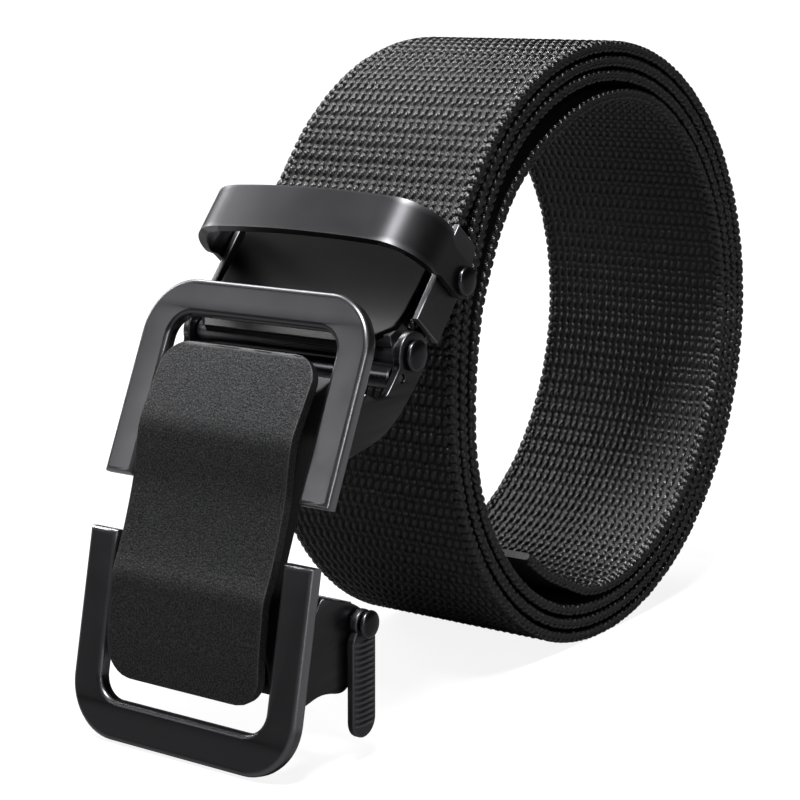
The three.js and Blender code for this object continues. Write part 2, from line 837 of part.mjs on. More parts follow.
// The origin is on the floor, under the middle of the whole belt
const box = new THREE.Box3().setFromObject(belt);
belt.position.set(-(box.min.x + box.max.x) / 2, -(box.min.y + box.max.y) / 2, -box.min.z);

export default belt;
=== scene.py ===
"""A rolled webbing belt with a hinged automatic buckle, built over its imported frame.

Sizes are in millimetres from the middle of the roll until a mesh is made: X runs across the strap,
Y towards the back and Z up. Run it once, or register it and use the Belt panel in the sidebar.
"""

import math
import random

import bmesh
import bpy
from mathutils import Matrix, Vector
from mathutils.geometry import tessellate_polygon


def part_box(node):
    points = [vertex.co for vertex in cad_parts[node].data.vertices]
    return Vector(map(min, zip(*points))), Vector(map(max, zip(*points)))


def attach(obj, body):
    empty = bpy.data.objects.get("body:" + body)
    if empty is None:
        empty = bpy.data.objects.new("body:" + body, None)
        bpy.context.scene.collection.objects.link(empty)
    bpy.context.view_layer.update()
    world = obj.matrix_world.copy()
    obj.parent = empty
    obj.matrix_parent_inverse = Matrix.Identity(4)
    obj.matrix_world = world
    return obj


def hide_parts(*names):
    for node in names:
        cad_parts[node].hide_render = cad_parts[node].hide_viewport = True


bl_info = {
    "name": "Rolled webbing belt",
    "version": (1, 0, 0),
    "blender": (4, 5, 0),
    "location": "View3D > Sidebar > Belt",
    "description": "Builds a rolled webbing belt with an automatic buckle over its packed frame",
    "category": "Add Mesh",
}

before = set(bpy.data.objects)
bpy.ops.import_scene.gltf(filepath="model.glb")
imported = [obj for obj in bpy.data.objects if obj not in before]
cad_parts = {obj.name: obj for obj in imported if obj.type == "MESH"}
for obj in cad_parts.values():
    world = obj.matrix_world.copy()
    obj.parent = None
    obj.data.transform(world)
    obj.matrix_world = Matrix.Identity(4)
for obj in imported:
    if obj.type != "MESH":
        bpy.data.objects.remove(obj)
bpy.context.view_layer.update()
MM = 0.001

# The webbing and its roll
STRAP_WIDTH = 38.0
STRAP_THICKNESS = 2.0
COIL_RADIUS = 50.0
LAYER_PITCH = 2.3
COIL_TURNS = 3.74
EXIT_DIRECTION = 140.0
GRIP_DEPTH = 27.5
CUT_END = 0.6
CORE_STEP = 1.4
SEALED = 0.06
STEPS_A_TURN = 720
GRIP_STEPS = 20

# A float and the knot after it: place in a row, length, width, height over a rib and slant
YARNS = ((0.3, 2.1, 0.98, 0.1, 0.24), (0.79, 1.2, 1.12, -0.04, -0.1))

# Lanes of knots on a selvage, two on its rim and two on its faces: how far across and how far out
SELVAGE = ((18.08, 0.5), (18.08, -0.5), (17.65, 0.62), (17.65, -0.62))
RIM_KNOT = (1.5, 0.92, 0.42)
FACE_KNOT = (1.55, 1.1, 0.4)
YARN_SPREAD = 0.05

# Turns that can be seen from outside end here, and those seen from inside start here
OUTER_TURNS = 1.0
INNER_TURNS = 2.68

# Direction in degrees, then how far that side is pressed in, in layers
COIL_LEAN = [
    (-220, 0.2), (-207, 0.82), (-200, 1.0), (-178, 1.38), (-153, 0.62), (-140, 0.25),
    (-108, -0.5), (-90, -0.55), (0, -0.39), (77, -0.3), (140, 0.2), (153, 0.82),
]

# Turns from the clamp, then how far the innermost turn stands off, in layers
INNER_SLACK = [
    (0, 0), (2.8, 0), (2.86, 0), (3.0, 0.84), (3.07, 1.1), (3.19, 0), (3.24, 0), (3.56, 0),
    (3.61, 0), (3.655, 0.34), (3.68, 0.9), (3.71, 1.0), (3.74, 0.96),
]

# The clamp, its ramp and the hinge
FIT = 0.3
CHANNEL_HALF = STRAP_WIDTH / 2 + FIT
CLAMP_HALF = CHANNEL_HALF + 1.0
EAR_OUTER = CHANNEL_HALF + 1.2
CLAMP_SIDE = [(10.5, -4.3), (13, -5.2), (27, -5.2), (27, 1.5), (10.5, 1.5)]
CLAMP_BACK = [(10.5, -4.3), (27.9, -4.3), (27.9, -3.3), (10.5, -3.3)]
CLAMP_TEETH = [13.25, 16.0, 18.75, 21.5, 24.25]
TOOTH_HALF = 0.8
TOOTH_RISE = 1.1
RAMP_START = 12.0
RAMP_LENGTH = 22.0
RAMP_RISE = 3.5
RAMP_FRONT = 1.5
RAMP_METAL = 1.2
RAMP_HALF = 18.0
RAMP_CORNER = 5.0

# Place in shares of the ramp's length, height in shares of its rise
RAMP_CURVE = [(0, 0.057), (0.18, 0.012), (0.36, 0), (0.55, 0.09), (0.73, 0.3), (0.87, 0.62), (1, 1)]
HINGE = (31.7, -0.9)
KNUCKLE_RADIUS = 2.0
PIN_RADIUS = 1.0
HINGE_WEB = [(27.8, -4.3), (29.7, -4.3), (31.7, -2.9), (32.0, 1.0), (31.0, 2.9), (27.8, 1.2)]
HEAD_HEIGHT = 0.95
PIN_HEAD = 2.35
RIVET_HEAD = 2.2
RIVET_SHANK = 0.9
RIVET_END = 19.75

# The keeper
KEEPER_PIVOT = (17.2, -3.2)
KEEPER_SPAN = (12.9, 20.5)
KEEPER_REACH = 10.6
KEEPER_BOW = 1.8
KEEPER_CORNER = 6.5
KEEPER_ARM = 2.65
KEEPER_TAPER = 2.2
KEEPER_METAL = (1.0, 1.4)
KEEPER_HOLE = 1.2
KEEPER_HALF = CLAMP_HALF + FIT + 1.0

# The frames, their ears and walls
FRAME_HALF = 21.0
FRAME_LENGTH = 30.6
FRAME_THICKNESS = 2.5
FRAME_LEG = 5.4
UPPER_BAR = 5.5
LOWER_BAR = 6.0
OUTER_RADIUS = 8.5
INNER_RADIUS = 3.5
FRAME_GAP = 8.4
FRAME_BEND = 12.2
FRAME_STEP = 0.24
HINGE_DROP = 5.2
HINGE_SETBACK = 11.9
EAR_RADIUS = 3.5
BUCKLE_TILT = 23.8885

# Edges of an ear and a side wall: place in shares of the frame's length, depth of the pivot's depth
EAR_NOTCH = [(0.435, 0.18), (0.441, 0.445), (0.418, 0.639), (0.389, 0.689), (0.271, 0.782)]
EAR_BACK = [(0.33, 1.168), (0.484, 0.992), (0.601, 0.769), (0.729, 0.294), (0.761, 0.18)]
WALL_EDGE = [
    (0.131, 0.172), (0.154, 0.566), (0.163, 0.828), (0.18, 1), (0.206, 1.123), (0.255, 1.18),
    (0.343, 1.18), (0.484, 1.123), (0.569, 1), (0.592, 0.861), (0.585, 0.648), (0.592, 0.459),
    (0.626, 0.258), (0.641, 0.172),
]
UPPER_DECK = (0.47, 0.667)
LOWER_DECK = (0.17, 0.49)
DECK_SETBACK = 3.9
DECK_THICKNESS = 1.2

# The front plate: place in shares of a frame's length, height in shares of its greatest height
PLATE_HALF = 14.25
PLATE_THICKNESS = 1.7
PLATE_CORNER = 4.4
PLATE_PROUD = 2.74
UPPER_WAVE = [(0.319, 0.376), (0.431, 0.58), (0.614, 0.869), (0.741, 1), (0.855, 0.76), (1.014, 0.321)]
LOWER_WAVE = [(-0.058, 0.02), (0.083, 0.29), (0.192, 0.562), (0.296, 0.53), (0.488, 0.365), (0.689, -0.06)]
BLOCK_HALF = 13.85

# The guide rod, the cam and the lever
GUIDE_RADIUS = 1.7
GUIDE_OFFSET = (3.8, -1.3)
GUIDE_AXLE = 0.6
GUIDE_HOLE = 0.64
CAM = (7.8, 12.2)
CAM_RADIUS = 2.6
CAM_TEETH = 10
CAM_TOOTH = 0.4
CAM_SHAFT = 1.1
CAM_HOLE = 1.4
CAM_HEAD = 2.05
LEVER_THICKNESS = 1.5
LEVER_LENGTH = 16.9
LEVER_PADDLE = 15.0
LEVER_HALF = 2.65
LEVER_HANG = 11.5
LEVER_RIBS = 15
RIB_PITCH = 0.86

# The fitted camera, in the same frame as the roll
CAMERA_AZIMUTH = 35.89
CAMERA_ELEVATION = 11.08
CAMERA_DISTANCE = 385.86
CAMERA_TARGET = (-23.66, 0.0, -13.74)
CAMERA_LENS = 97.32

# Lamps in metres from the floor's middle: place, size and the setting with the power
SOFTBOXES = (
    ("Left softbox", (-0.66, -0.04, 0.38), (0.22, 0.3), "key"),
    ("Front fill", (-0.53, -0.64, 0.44), (0.3, 0.2), "fill"),
    ("Back softbox", (-0.5, 0.22, 0.66), (0.3, 0.3), "back"),
    ("Right strip", (0.55, -0.33, 0.28), (0.06, 0.4), "strip"),
)
LAMP_AIM = (0, 0, 0.04)
OVERHEAD_FROM = (0.1, -0.26, 0.9)
OVERHEAD_ANGLE = 15
SEEN_WALL = 1.2
BOARD_GLOW = 0.88


class Side:
    """A flat coordinate system in the side view."""

    def __init__(self, origin, degrees, hand):
        self.origin = Vector(origin)
        turn = math.radians(degrees)
        self.along = Vector((math.cos(turn), math.sin(turn)))
        self.out = Vector((-self.along.y, self.along.x)) * hand

    def at(self, along, out):
        return self.origin + self.along * along + self.out * out


def smooth_value(rows, at):
    """The value between the rows of a table, without a corner at any row."""
    i = 0
    while i < len(rows) - 2 and at > rows[i + 1][0]:
        i += 1

    def slope(k):
        return (rows[k + 1][1] - rows[k][1]) / (rows[k + 1][0] - rows[k][0])

    span = rows[i + 1][0] - rows[i][0]
    share = (at - rows[i][0]) / span
    before = (slope(i - 1) + slope(i)) / 2 if i > 0 else slope(i)
    after = (slope(i) + slope(i + 1)) / 2 if i < len(rows) - 2 else slope(i)
    low, high = rows[i][1], rows[i + 1][1]
    cubic = share * share * (3 - 2 * share)
    lift = share * (1 - share) ** 2 * before * span
    fall = share * share * (share - 1) * after * span
    return low + (high - low) * cubic + lift + fall


def coil_point(turn):
    """A point on the middle of the webbing, that many turns from where it leaves the clamp."""
    direction = EXIT_DIRECTION - turn * 360
    around = EXIT_DIRECTION - (turn * 360) % 360
    lean = smooth_value(COIL_LEAN, around) + smooth_value(INNER_SLACK, turn)
    radius = COIL_RADIUS - LAYER_PITCH * (turn + lean) - STRAP_THICKNESS / 2
    angle = math.radians(direction)
    return Vector((radius * math.cos(angle), radius * math.sin(angle)))


EXIT = coil_point(0)
STRAP = Side(EXIT + EXIT.normalized() * STRAP_THICKNESS / 2, EXIT_DIRECTION + 90, -1)
HINGE_AT = STRAP.at(*HINGE)
KEEPER_AT = STRAP.at(*KEEPER_PIVOT)
BUCKLE = Side(HINGE_AT, -90 - BUCKLE_TILT, 1)
UPPER = Side(BUCKLE.at(-HINGE_DROP, -HINGE_SETBACK), -90 - BUCKLE_TILT, 1)
LOWER = Side(
    BUCKLE.at(FRAME_LENGTH + FRAME_GAP - HINGE_DROP, FRAME_STEP - HINGE_SETBACK),
    -90 - BUCKLE_TILT + FRAME_BEND,
    1,
)
CAM_AT = LOWER.at(*CAM)
GUIDE_AT = UPPER.at(HINGE_DROP + GUIDE_OFFSET[0], HINGE_SETBACK + GUIDE_OFFSET[1])


def roll_centre():
    """Where the middle of the roll is in the row frame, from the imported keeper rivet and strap."""
    low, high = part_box("keeper_rivet_right")
    rivet = (Vector(low) + Vector(high)) / 2 / MM
    low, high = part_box("strap")
    middle = (low[0] + high[0]) / 2 / MM
    return Vector((middle, rivet.y - KEEPER_AT.x, rivet.z - KEEPER_AT.y))


CENTRE = roll_centre()


# Meshes


def make_piece(name, points, faces, material, body, nodes, sharp=35, weighted=True):
    """A mesh from points in millimetres, with its finish, its body and the nodes it stands for."""
    mesh = bpy.data.meshes.new(name)
    mesh.from_pydata([(Vector(p) + CENTRE) * MM for p in points], [], faces)
    built = bmesh.new()
    built.from_mesh(mesh)
    bmesh.ops.recalc_face_normals(built, faces=built.faces)
    built.to_mesh(mesh)
    built.free()
    mesh.shade_smooth()
    mesh.set_sharp_from_angle(angle=math.radians(sharp))
    mesh.materials.append(material)
    piece = bpy.data.objects.new(name, mesh)
    bpy.context.scene.collection.objects.link(piece)
    if weighted:
        modifier = piece.modifiers.new("Weighted normals", "WEIGHTED_NORMAL")
        modifier.keep_sharp = True
        modifier.weight = 100
    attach(piece, body)
    if nodes:
        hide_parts(*nodes)
    return piece


class Mesh:
    """Points and faces gathered from several shapes."""

    def __init__(self):
        self.points = []
        self.faces = []

    def add(self, points, faces):
        start = len(self.points)
        self.points += points
        self.faces += [tuple(i + start for i in face) for face in faces]


def signed_area(loop):
    return sum(a[0] * b[1] - b[0] * a[1] for a, b in zip(loop, loop[1:] + loop[:1])) / 2


def inset(loop, distance):
    """The loop moved to its left by a distance, with mitred corners."""
    moved = []
    count = len(loop)
    for i in range(count):
        before = (Vector(loop[i]) - Vector(loop[i - 1])).normalized()
        after = (Vector(loop[(i + 1) % count]) - Vector(loop[i])).normalized()
        left = Vector((-before.y, before.x)) + Vector((-after.y, after.x))
        spread = max(0.4, 1 + before.dot(after))
        moved.append(Vector(loop[i]) + left / spread * distance)
    return moved


def extrude(mesh, outline, low, high, place, holes=(), edge=0.2, segments=3):
    """A flat outline given a thickness and rounded edges, put in its place by the last function."""
    outer = [Vector(p) for p in outline]
    if signed_area(outer) < 0:
        outer.reverse()
    loops = [outer]
    for hole in holes:
        ring = [Vector(p) for p in hole]
        if signed_area(ring) > 0:
            ring.reverse()
        loops.append(ring)
    levels = []
    for k in range(segments + 1):
        turn = math.radians(90 * k / segments)
        levels.append((edge * (1 - math.sin(turn)), low + edge * (1 - math.cos(turn))))
    levels += [(distance, low + high - height) for distance, height in reversed(levels)]
    points = []
    faces = []
    bottoms = []
    tops = []
    for loop in loops:
        count = len(loop)
        start = len(points)
        for distance, height in levels:
            points += [place(p.x, p.y, height) for p in inset(loop, distance)]
        for level in range(len(levels) - 1):
            for i in range(count):
                j = (i + 1) % count
                a = start + level * count
                faces.append((a + i, a + j, a + count + j, a + count + i))
        bottoms += [start + i for i in range(count)]
        tops += [start + (len(levels) - 1) * count + i for i in range(count)]
    flat = [[Vector((p.x, p.y, 0)) for p in inset(loop, edge)] for loop in loops]
    for triangle in tessellate_polygon(flat):
        faces.append(tuple(bottoms[i] for i in triangle))
        faces.append(tuple(tops[i] for i in triangle))
    mesh.add(points, faces)


def from_side(y, z, x):
    return Vector((x, y, z))


def in_plane(plane):
    """Places a shape drawn as x and down, with its thickness going back."""

    def place(x, down, back):
        at = plane.at(down, back)
        return Vector((x, at.x, at.y))

    return place


def turned(mesh, centre, profile, sides=40):
    """A solid of revolution about X: the profile is a list of x and radius, closed at both ends."""
    points = []
    faces = []
    rings = []
    for x, radius in profile:
        if radius < 1e-6:
            rings.append([len(points)])
            points.append(Vector((x, centre.x, centre.y)))
            continue
        ring = []
        for i in range(sides):
            turn = 2 * math.pi * i / sides
            ring.append(len(points))
            rim = centre + Vector((math.cos(turn), math.sin(turn))) * radius
            points.append(Vector((x, rim.x, rim.y)))
        rings.append(ring)
    for a, b in zip(rings, rings[1:]):
        for i in range(sides):
            j = (i + 1) % sides
            if len(a) == 1:
                faces.append((a[0], b[i], b[j]))
            elif len(b) == 1:
                faces.append((a[i], a[j], b[0]))
            else:
                faces.append((a[i], a[j], b[j], b[i]))
    mesh.add(points, faces)


def dome(seat, radius, side, height=HEAD_HEIGHT):
    """The profile of a domed rivet head, from its seat outwards to the middle of the dome."""
    rows = [(0, radius - 0.15), (0.12, radius), (0.4 * height, radius)]
    for k in range(1, 7):
        turn = math.radians(90 * k / 6)
        rows.append((height * (0.4 + 0.6 * math.sin(turn)), radius * math.cos(turn)))
    return [(seat + side * x, r) for x, r in rows]


def plate_rows(path, thickness, half_width, columns):
    """A curved plate: rows of points across X along a side-view path, front face then back face."""
    points = []
    faces = []
    count = len(path)
    wide = columns + 1
    for back in (0, thickness):
        for i, at in enumerate(path):
            ahead = path[min(i + 1, count - 1)] - path[max(i - 1, 0)]
            ahead.normalize()
            left = Vector((-ahead.y, ahead.x))
            here = at + left * back
            half = half_width[i]
            for k in range(wide):
                points.append(Vector((half * (2 * k / columns - 1), here.x, here.y)))
    layer = count * wide
    for i in range(count - 1):
        for k in range(columns):
            a = i * wide + k
            faces.append((a, a + 1, a + wide + 1, a + wide))
            b = a + layer
            faces.append((b, b + wide, b + wide + 1, b + 1))
    for i in range(count - 1):
        for k in (0, columns):
            a = i * wide + k
            faces.append((a, a + wide, a + wide + layer, a + layer))
    for i in (0, count - 1):
        for k in range(columns):
            a = i * wide + k
            faces.append((a, a + 1, a + 1 + layer, a + layer))
    return points, faces


def soften(piece, width, segments=3, angle=40):
    """Rounds the sharp edges of a piece."""
    modifier = piece.modifiers.new("Rounded edges", "BEVEL")
    modifier.width = width * MM
    modifier.segments = segments
    modifier.limit_method = "ANGLE"
    modifier.angle_limit = math.radians(angle)
    modifier.harden_normals = True
    return piece


def arc(centre, radius, start, end, steps):
    """Points on an arc between two directions in degrees."""
    turns = [math.radians(start + (end - start) * i / steps) for i in range(steps + 1)]
    middle = Vector(centre)
    return [middle + Vector((math.cos(t), math.sin(t))) * radius for t in turns]


def bore(centre, radius):
    """The outline of a round hole."""
    return arc(centre, radius, 0, 345, 23)


def eased(loop):
    """A closed outline with its corners cut back to curves."""
    for _ in range(2):
        cut = []
        for a, b in zip(loop, loop[1:] + loop[:1]):
            cut += [a.lerp(b, 0.25), a.lerp(b, 0.75)]
        loop = cut
    return loop


def spline(points, steps):
    """Points along a smooth curve through the given ones."""
    made = []
    last = len(points) - 1
    for i in range(last):
        a, b, c, d = points[max(i - 1, 0)], points[i], points[i + 1], points[min(i + 2, last)]
        for k in range(steps):
            t = k / steps
            bend = (a * 2 - b * 5 + c * 4 - d) * t * t
            twist = (b * 3 - a - c * 3 + d) * t**3
            made.append((b * 2 + (c - a) * t + bend + twist) / 2)
    made.append(points[-1].copy())
    return made


# Materials


def colour(code):
    """A linear colour from an sRGB hex code."""
    parts = [int(code[i : i + 2], 16) / 255 for i in (1, 3, 5)]
    return tuple(p / 12.92 if p <= 0.04045 else ((p + 0.055) / 1.055) ** 2.4 for p in parts) + (1.0,)


# Where a surface is pointed enough to be painted lighter: a painted highlight along its edges
HIGHLIT_EDGE = {"From Min": 0.515, "From Max": 0.56, "To Min": 0.0, "To Max": 1.0}


def add_node(tree, kind, settings=None, inputs=None):
    """Adds a node, gives it its settings, and sets or links its inputs."""
    made = tree.nodes.new(kind)
    for name, value in (settings or {}).items():
        setattr(made, name, value)
    for name, value in (inputs or {}).items():
        if isinstance(value, bpy.types.NodeSocket):
            tree.links.new(value, made.inputs[name])
        else:
            made.inputs[name].default_value = value
    return made


def new_material(name):
    """An empty material, with its tree, shader and output."""
    material = bpy.data.materials.new(name)
    material.use_nodes = True
    tree = material.node_tree
    tree.nodes.clear()
    shader = add_node(tree, "ShaderNodeBsdfPrincipled")
    add_node(tree, "ShaderNodeOutputMaterial", inputs={"Surface": shader.outputs["BSDF"]})
    return material, tree, shader


def woven_nylon(name, base, light, rough):
    """Nylon yarn dyed black: fine lengthwise filaments shine, and the yarns differ a little in tone."""
    material, tree, shader = new_material(name)
    place = add_node(tree, "ShaderNodeTexCoord").outputs["Object"]
    along = add_node(tree, "ShaderNodeUVMap", settings={"uv_map": "Yarn"}).outputs["UV"]
    tone = add_node(tree, "ShaderNodeAttribute", settings={"attribute_name": "tone"}).outputs["Fac"]
    # Filaments twist round each yarn. The real ones are finer than a pixel, so these are coarser
    filament = add_node(
        tree,
        "ShaderNodeTexWave",
        settings={"wave_type": "BANDS", "bands_direction": "DIAGONAL"},
        inputs={"Vector": along, "Scale": 1.1, "Distortion": 1.2, "Detail": 2.0, "Detail Scale": 1.5},
    ).outputs["Fac"]
    # Fuzz and dust lift the black unevenly over centimetres
    patches = add_node(
        tree,
        "ShaderNodeTexNoise",
        inputs={"Vector": place, "Scale": 0.12 / MM, "Detail": 3.0, "Roughness": 0.5},
    ).outputs["Fac"]
    dusty = add_node(
        tree,
        "ShaderNodeMapRange",
        inputs={"Value": patches, "From Min": 0.35, "From Max": 0.65, "To Min": 0.0, "To Max": 0.25},
    ).outputs["Result"]
    share = add_node(
        tree,
        "ShaderNodeMath",
        settings={"operation": "MULTIPLY_ADD"},
        inputs={0: tone, 1: 0.75, 2: dusty},
    ).outputs["Value"]
    dyed = add_node(
        tree, "ShaderNodeMix", settings={"data_type": "RGBA"}, inputs={0: share, 6: base, 7: light}
    ).outputs[2]
    gloss = add_node(
        tree,
        "ShaderNodeMapRange",
        inputs={
            "Value": filament, "From Min": 0, "From Max": 1,
            "To Min": rough + 0.08, "To Max": rough - 0.06,
        },
    ).outputs["Result"]
    fluff = add_node(
        tree,
        "ShaderNodeTexNoise",
        inputs={"Vector": place, "Scale": 5.0 / MM, "Detail": 3.0, "Roughness": 0.5},
    ).outputs["Fac"]
    fuzz = add_node(
        tree, "ShaderNodeBump", inputs={"Height": fluff, "Distance": 0.05 * MM, "Strength": 0.5}
    ).outputs["Normal"]
    twist = add_node(
        tree,
        "ShaderNodeBump",
        inputs={"Height": filament, "Distance": 0.035 * MM, "Strength": 0.8, "Normal": fuzz},
    ).outputs["Normal"]
    tree.links.new(dyed, shader.inputs["Base Color"])
    tree.links.new(gloss, shader.inputs["Roughness"])
    tree.links.new(twist, shader.inputs["Normal"])
    shader.inputs["IOR"].default_value = 1.53
    shader.inputs["Specular IOR Level"].default_value = 0.6
    return material


def coated_metal(name, base, edge_highlight, rough, grain, depth, per_mm):
    """Metal under a thin black coating: a satin skin, and a lighter tone painted on its pointed edges as a
    painted highlight.
    """
    material, tree, shader = new_material(name)
    place = add_node(tree, "ShaderNodeTexCoord").outputs["Object"]
    edge = add_node(tree, "ShaderNodeNewGeometry").outputs["Pointiness"]
    # Pointed edges get a lighter colour: a painted highlight
    highlit = add_node(tree, "ShaderNodeMapRange", inputs={"Value": edge, **HIGHLIT_EDGE}).outputs["Result"]
    tone = add_node(
        tree, "ShaderNodeMix", settings={"data_type": "RGBA"}, inputs={0: highlit, 6: base, 7: colour(edge_highlight)}
    ).outputs[2]
    # Handling leaves faint duller patches a few millimetres across
    smear = add_node(
        tree,
        "ShaderNodeTexNoise",
        inputs={"Vector": place, "Scale": 0.22 / MM, "Detail": 4.0, "Roughness": 0.6},
    ).outputs["Fac"]
    sheen = add_node(
        tree,
        "ShaderNodeMapRange",
        inputs={
            "Value": smear, "From Min": 0.3, "From Max": 0.7,
            "To Min": rough - 0.02, "To Max": rough + 0.03,
        },
    ).outputs["Result"]
    # The coating's own skin is drawn coarser than it is, so that it shows
    skin = add_node(
        tree,
        "ShaderNodeTexNoise",
        inputs={"Vector": place, "Scale": per_mm / MM, "Detail": 3.0, "Roughness": 0.6},
    ).outputs["Fac"]
    sag = add_node(
        tree,
        "ShaderNodeTexNoise",
        inputs={"Vector": place, "Scale": 0.25 / MM, "Detail": 1.0, "Roughness": 0.5},
    ).outputs["Fac"]
    wavy = add_node(
        tree, "ShaderNodeBump", inputs={"Height": sag, "Distance": 0.02 * MM, "Strength": 0.2}
    ).outputs["Normal"]
    fine = add_node(
        tree,
        "ShaderNodeBump",
        inputs={"Height": skin, "Distance": depth * MM, "Strength": grain, "Normal": wavy},
    ).outputs["Normal"]
    tree.links.new(tone, shader.inputs["Base Color"])
    tree.links.new(sheen, shader.inputs["Roughness"])
    tree.links.new(fine, shader.inputs["Normal"])
    shader.inputs["Metallic"].default_value = 1.0
    return material


def blasted_metal(name, base, light, edge_highlight, rough):
    """Cast zinc blasted with coarse grit and then coated black: its pits scatter small sparks of light."""
    material, tree, shader = new_material(name)
    place = add_node(tree, "ShaderNodeTexCoord").outputs["Object"]
    # The pits are a quarter of a millimetre from one to the next
    pits = add_node(
        tree,
        "ShaderNodeTexNoise",
        inputs={"Vector": place, "Scale": 4.0 / MM, "Detail": 2.0, "Roughness": 0.7},
    ).outputs["Fac"]
    sparks = add_node(
        tree,
        "ShaderNodeMapRange",
        inputs={"Value": pits, "From Min": 0.42, "From Max": 0.68, "To Min": 0.0, "To Max": 1.0},
    ).outputs["Result"]
    edge = add_node(tree, "ShaderNodeNewGeometry").outputs["Pointiness"]
    # Pointed edges get a lighter colour: a painted highlight
    highlit = add_node(tree, "ShaderNodeMapRange", inputs={"Value": edge, **HIGHLIT_EDGE}).outputs["Result"]
    body = add_node(
        tree, "ShaderNodeMix", settings={"data_type": "RGBA"}, inputs={0: sparks, 6: base, 7: colour(light)}
    ).outputs[2]
    tone = add_node(
        tree, "ShaderNodeMix", settings={"data_type": "RGBA"}, inputs={0: highlit, 6: body, 7: colour(edge_highlight)}
    ).outputs[2]
    sheen = add_node(
        tree,
        "ShaderNodeMapRange",
        inputs={
            "Value": pits, "From Min": 0.35, "From Max": 0.7,
            "To Min": rough + 0.06, "To Max": rough - 0.1,
        },
    ).outputs["Result"]
    grit = add_node(
        tree,
        "ShaderNodeTexNoise",
        inputs={"Vector": place, "Scale": 9.0 / MM, "Detail": 2.0, "Roughness": 0.5},
    ).outputs["Fac"]
    fine = add_node(
        tree, "ShaderNodeBump", inputs={"Height": grit, "Distance": 0.03 * MM, "Strength": 0.5}
    ).outputs["Normal"]
    pitted = add_node(
        tree,
        "ShaderNodeBump",
        inputs={"Height": pits, "Distance": 0.12 * MM, "Strength": 0.9, "Normal": fine},
    ).outputs["Normal"]
    tree.links.new(tone, shader.inputs["Base Color"])
    tree.links.new(sheen, shader.inputs["Roughness"])
    tree.links.new(pitted, shader.inputs["Normal"])
    shader.inputs["Metallic"].default_value = 1.0
    return material


def lit_board(name, base):
    """Frosted acrylic lit from below, which washes out most of the shadow that is seen on it."""
    material, tree, shader = new_material(name)
    place = add_node(tree, "ShaderNodeTexCoord").outputs["Object"]
    frost = add_node(
        tree,
        "ShaderNodeTexNoise",
        inputs={"Vector": place, "Scale": 0.4 / MM, "Detail": 2.0, "Roughness": 0.5},
    ).outputs["Fac"]
    matt = add_node(
        tree,
        "ShaderNodeMapRange",
        inputs={"Value": frost, "From Min": 0.3, "From Max": 0.7, "To Min": 0.82, "To Max": 0.9},
    ).outputs["Result"]
    seen = add_node(tree, "ShaderNodeLightPath").outputs["Is Camera Ray"]
    glow = add_node(
        tree,
        "ShaderNodeMapRange",
        inputs={
            "Value": seen, "From Min": 0.0, "From Max": 1.0,
            "To Min": 0.0, "To Max": BOARD_GLOW,
        },
    ).outputs["Result"]
    tree.links.new(matt, shader.inputs["Roughness"])
    tree.links.new(glow, shader.inputs["Emission Strength"])
    shader.inputs["Base Color"].default_value = base
    shader.inputs["Specular IOR Level"].default_value = 0.1
    shader.inputs["Emission Color"].default_value = (1, 1, 1, 1)
    return material


# Settings and operators


class WebbingSettings(bpy.types.PropertyGroup):
    """Sizes and colours of the weave."""

    column: bpy.props.FloatProperty(
        name="Column pitch",
        description="From yarn to yarn across the strap",
        default=1.41 * MM,
        precision=5,
        unit="LENGTH",
    )
    row: bpy.props.FloatProperty(
        name="Row pitch",
        description="From float to float along the strap",
        default=3.0 * MM,
        precision=5,
        unit="LENGTH",
    )
    rib: bpy.props.FloatProperty(
        name="Rib height",
        description="How far a yarn stands out of the core",
        default=0.46 * MM,
        precision=5,
        unit="LENGTH",
    )
    bead: bpy.props.FloatProperty(
        name="Bead pitch",
        description="From knot to knot along the selvage",
        default=1.5 * MM,
        precision=5,
        unit="LENGTH",
    )
    yarn: bpy.props.FloatVectorProperty(
        name="Yarn",
        description="The darkest yarns",
        default=colour("#020203"),
        size=4,
        subtype="COLOR",
    )
    yarn_light: bpy.props.FloatVectorProperty(
        name="Light yarn",
        description="The lightest yarns",
        default=colour("#0b0b0c"),
        size=4,
        subtype="COLOR",
    )
    # The core's colours are darker than the yarns': painted shade in the gaps between them. Its lighter end
    # is dust
    core: bpy.props.FloatVectorProperty(
        name="Core",
        description="The webbing between the yarns",
        default=colour("#020203"),
        size=4,
        subtype="COLOR",
    )
    core_light: bpy.props.FloatVectorProperty(
        name="Light core",
        description="Dust on the webbing between the yarns",
        default=colour("#060607"),
        size=4,
        subtype="COLOR",
    )


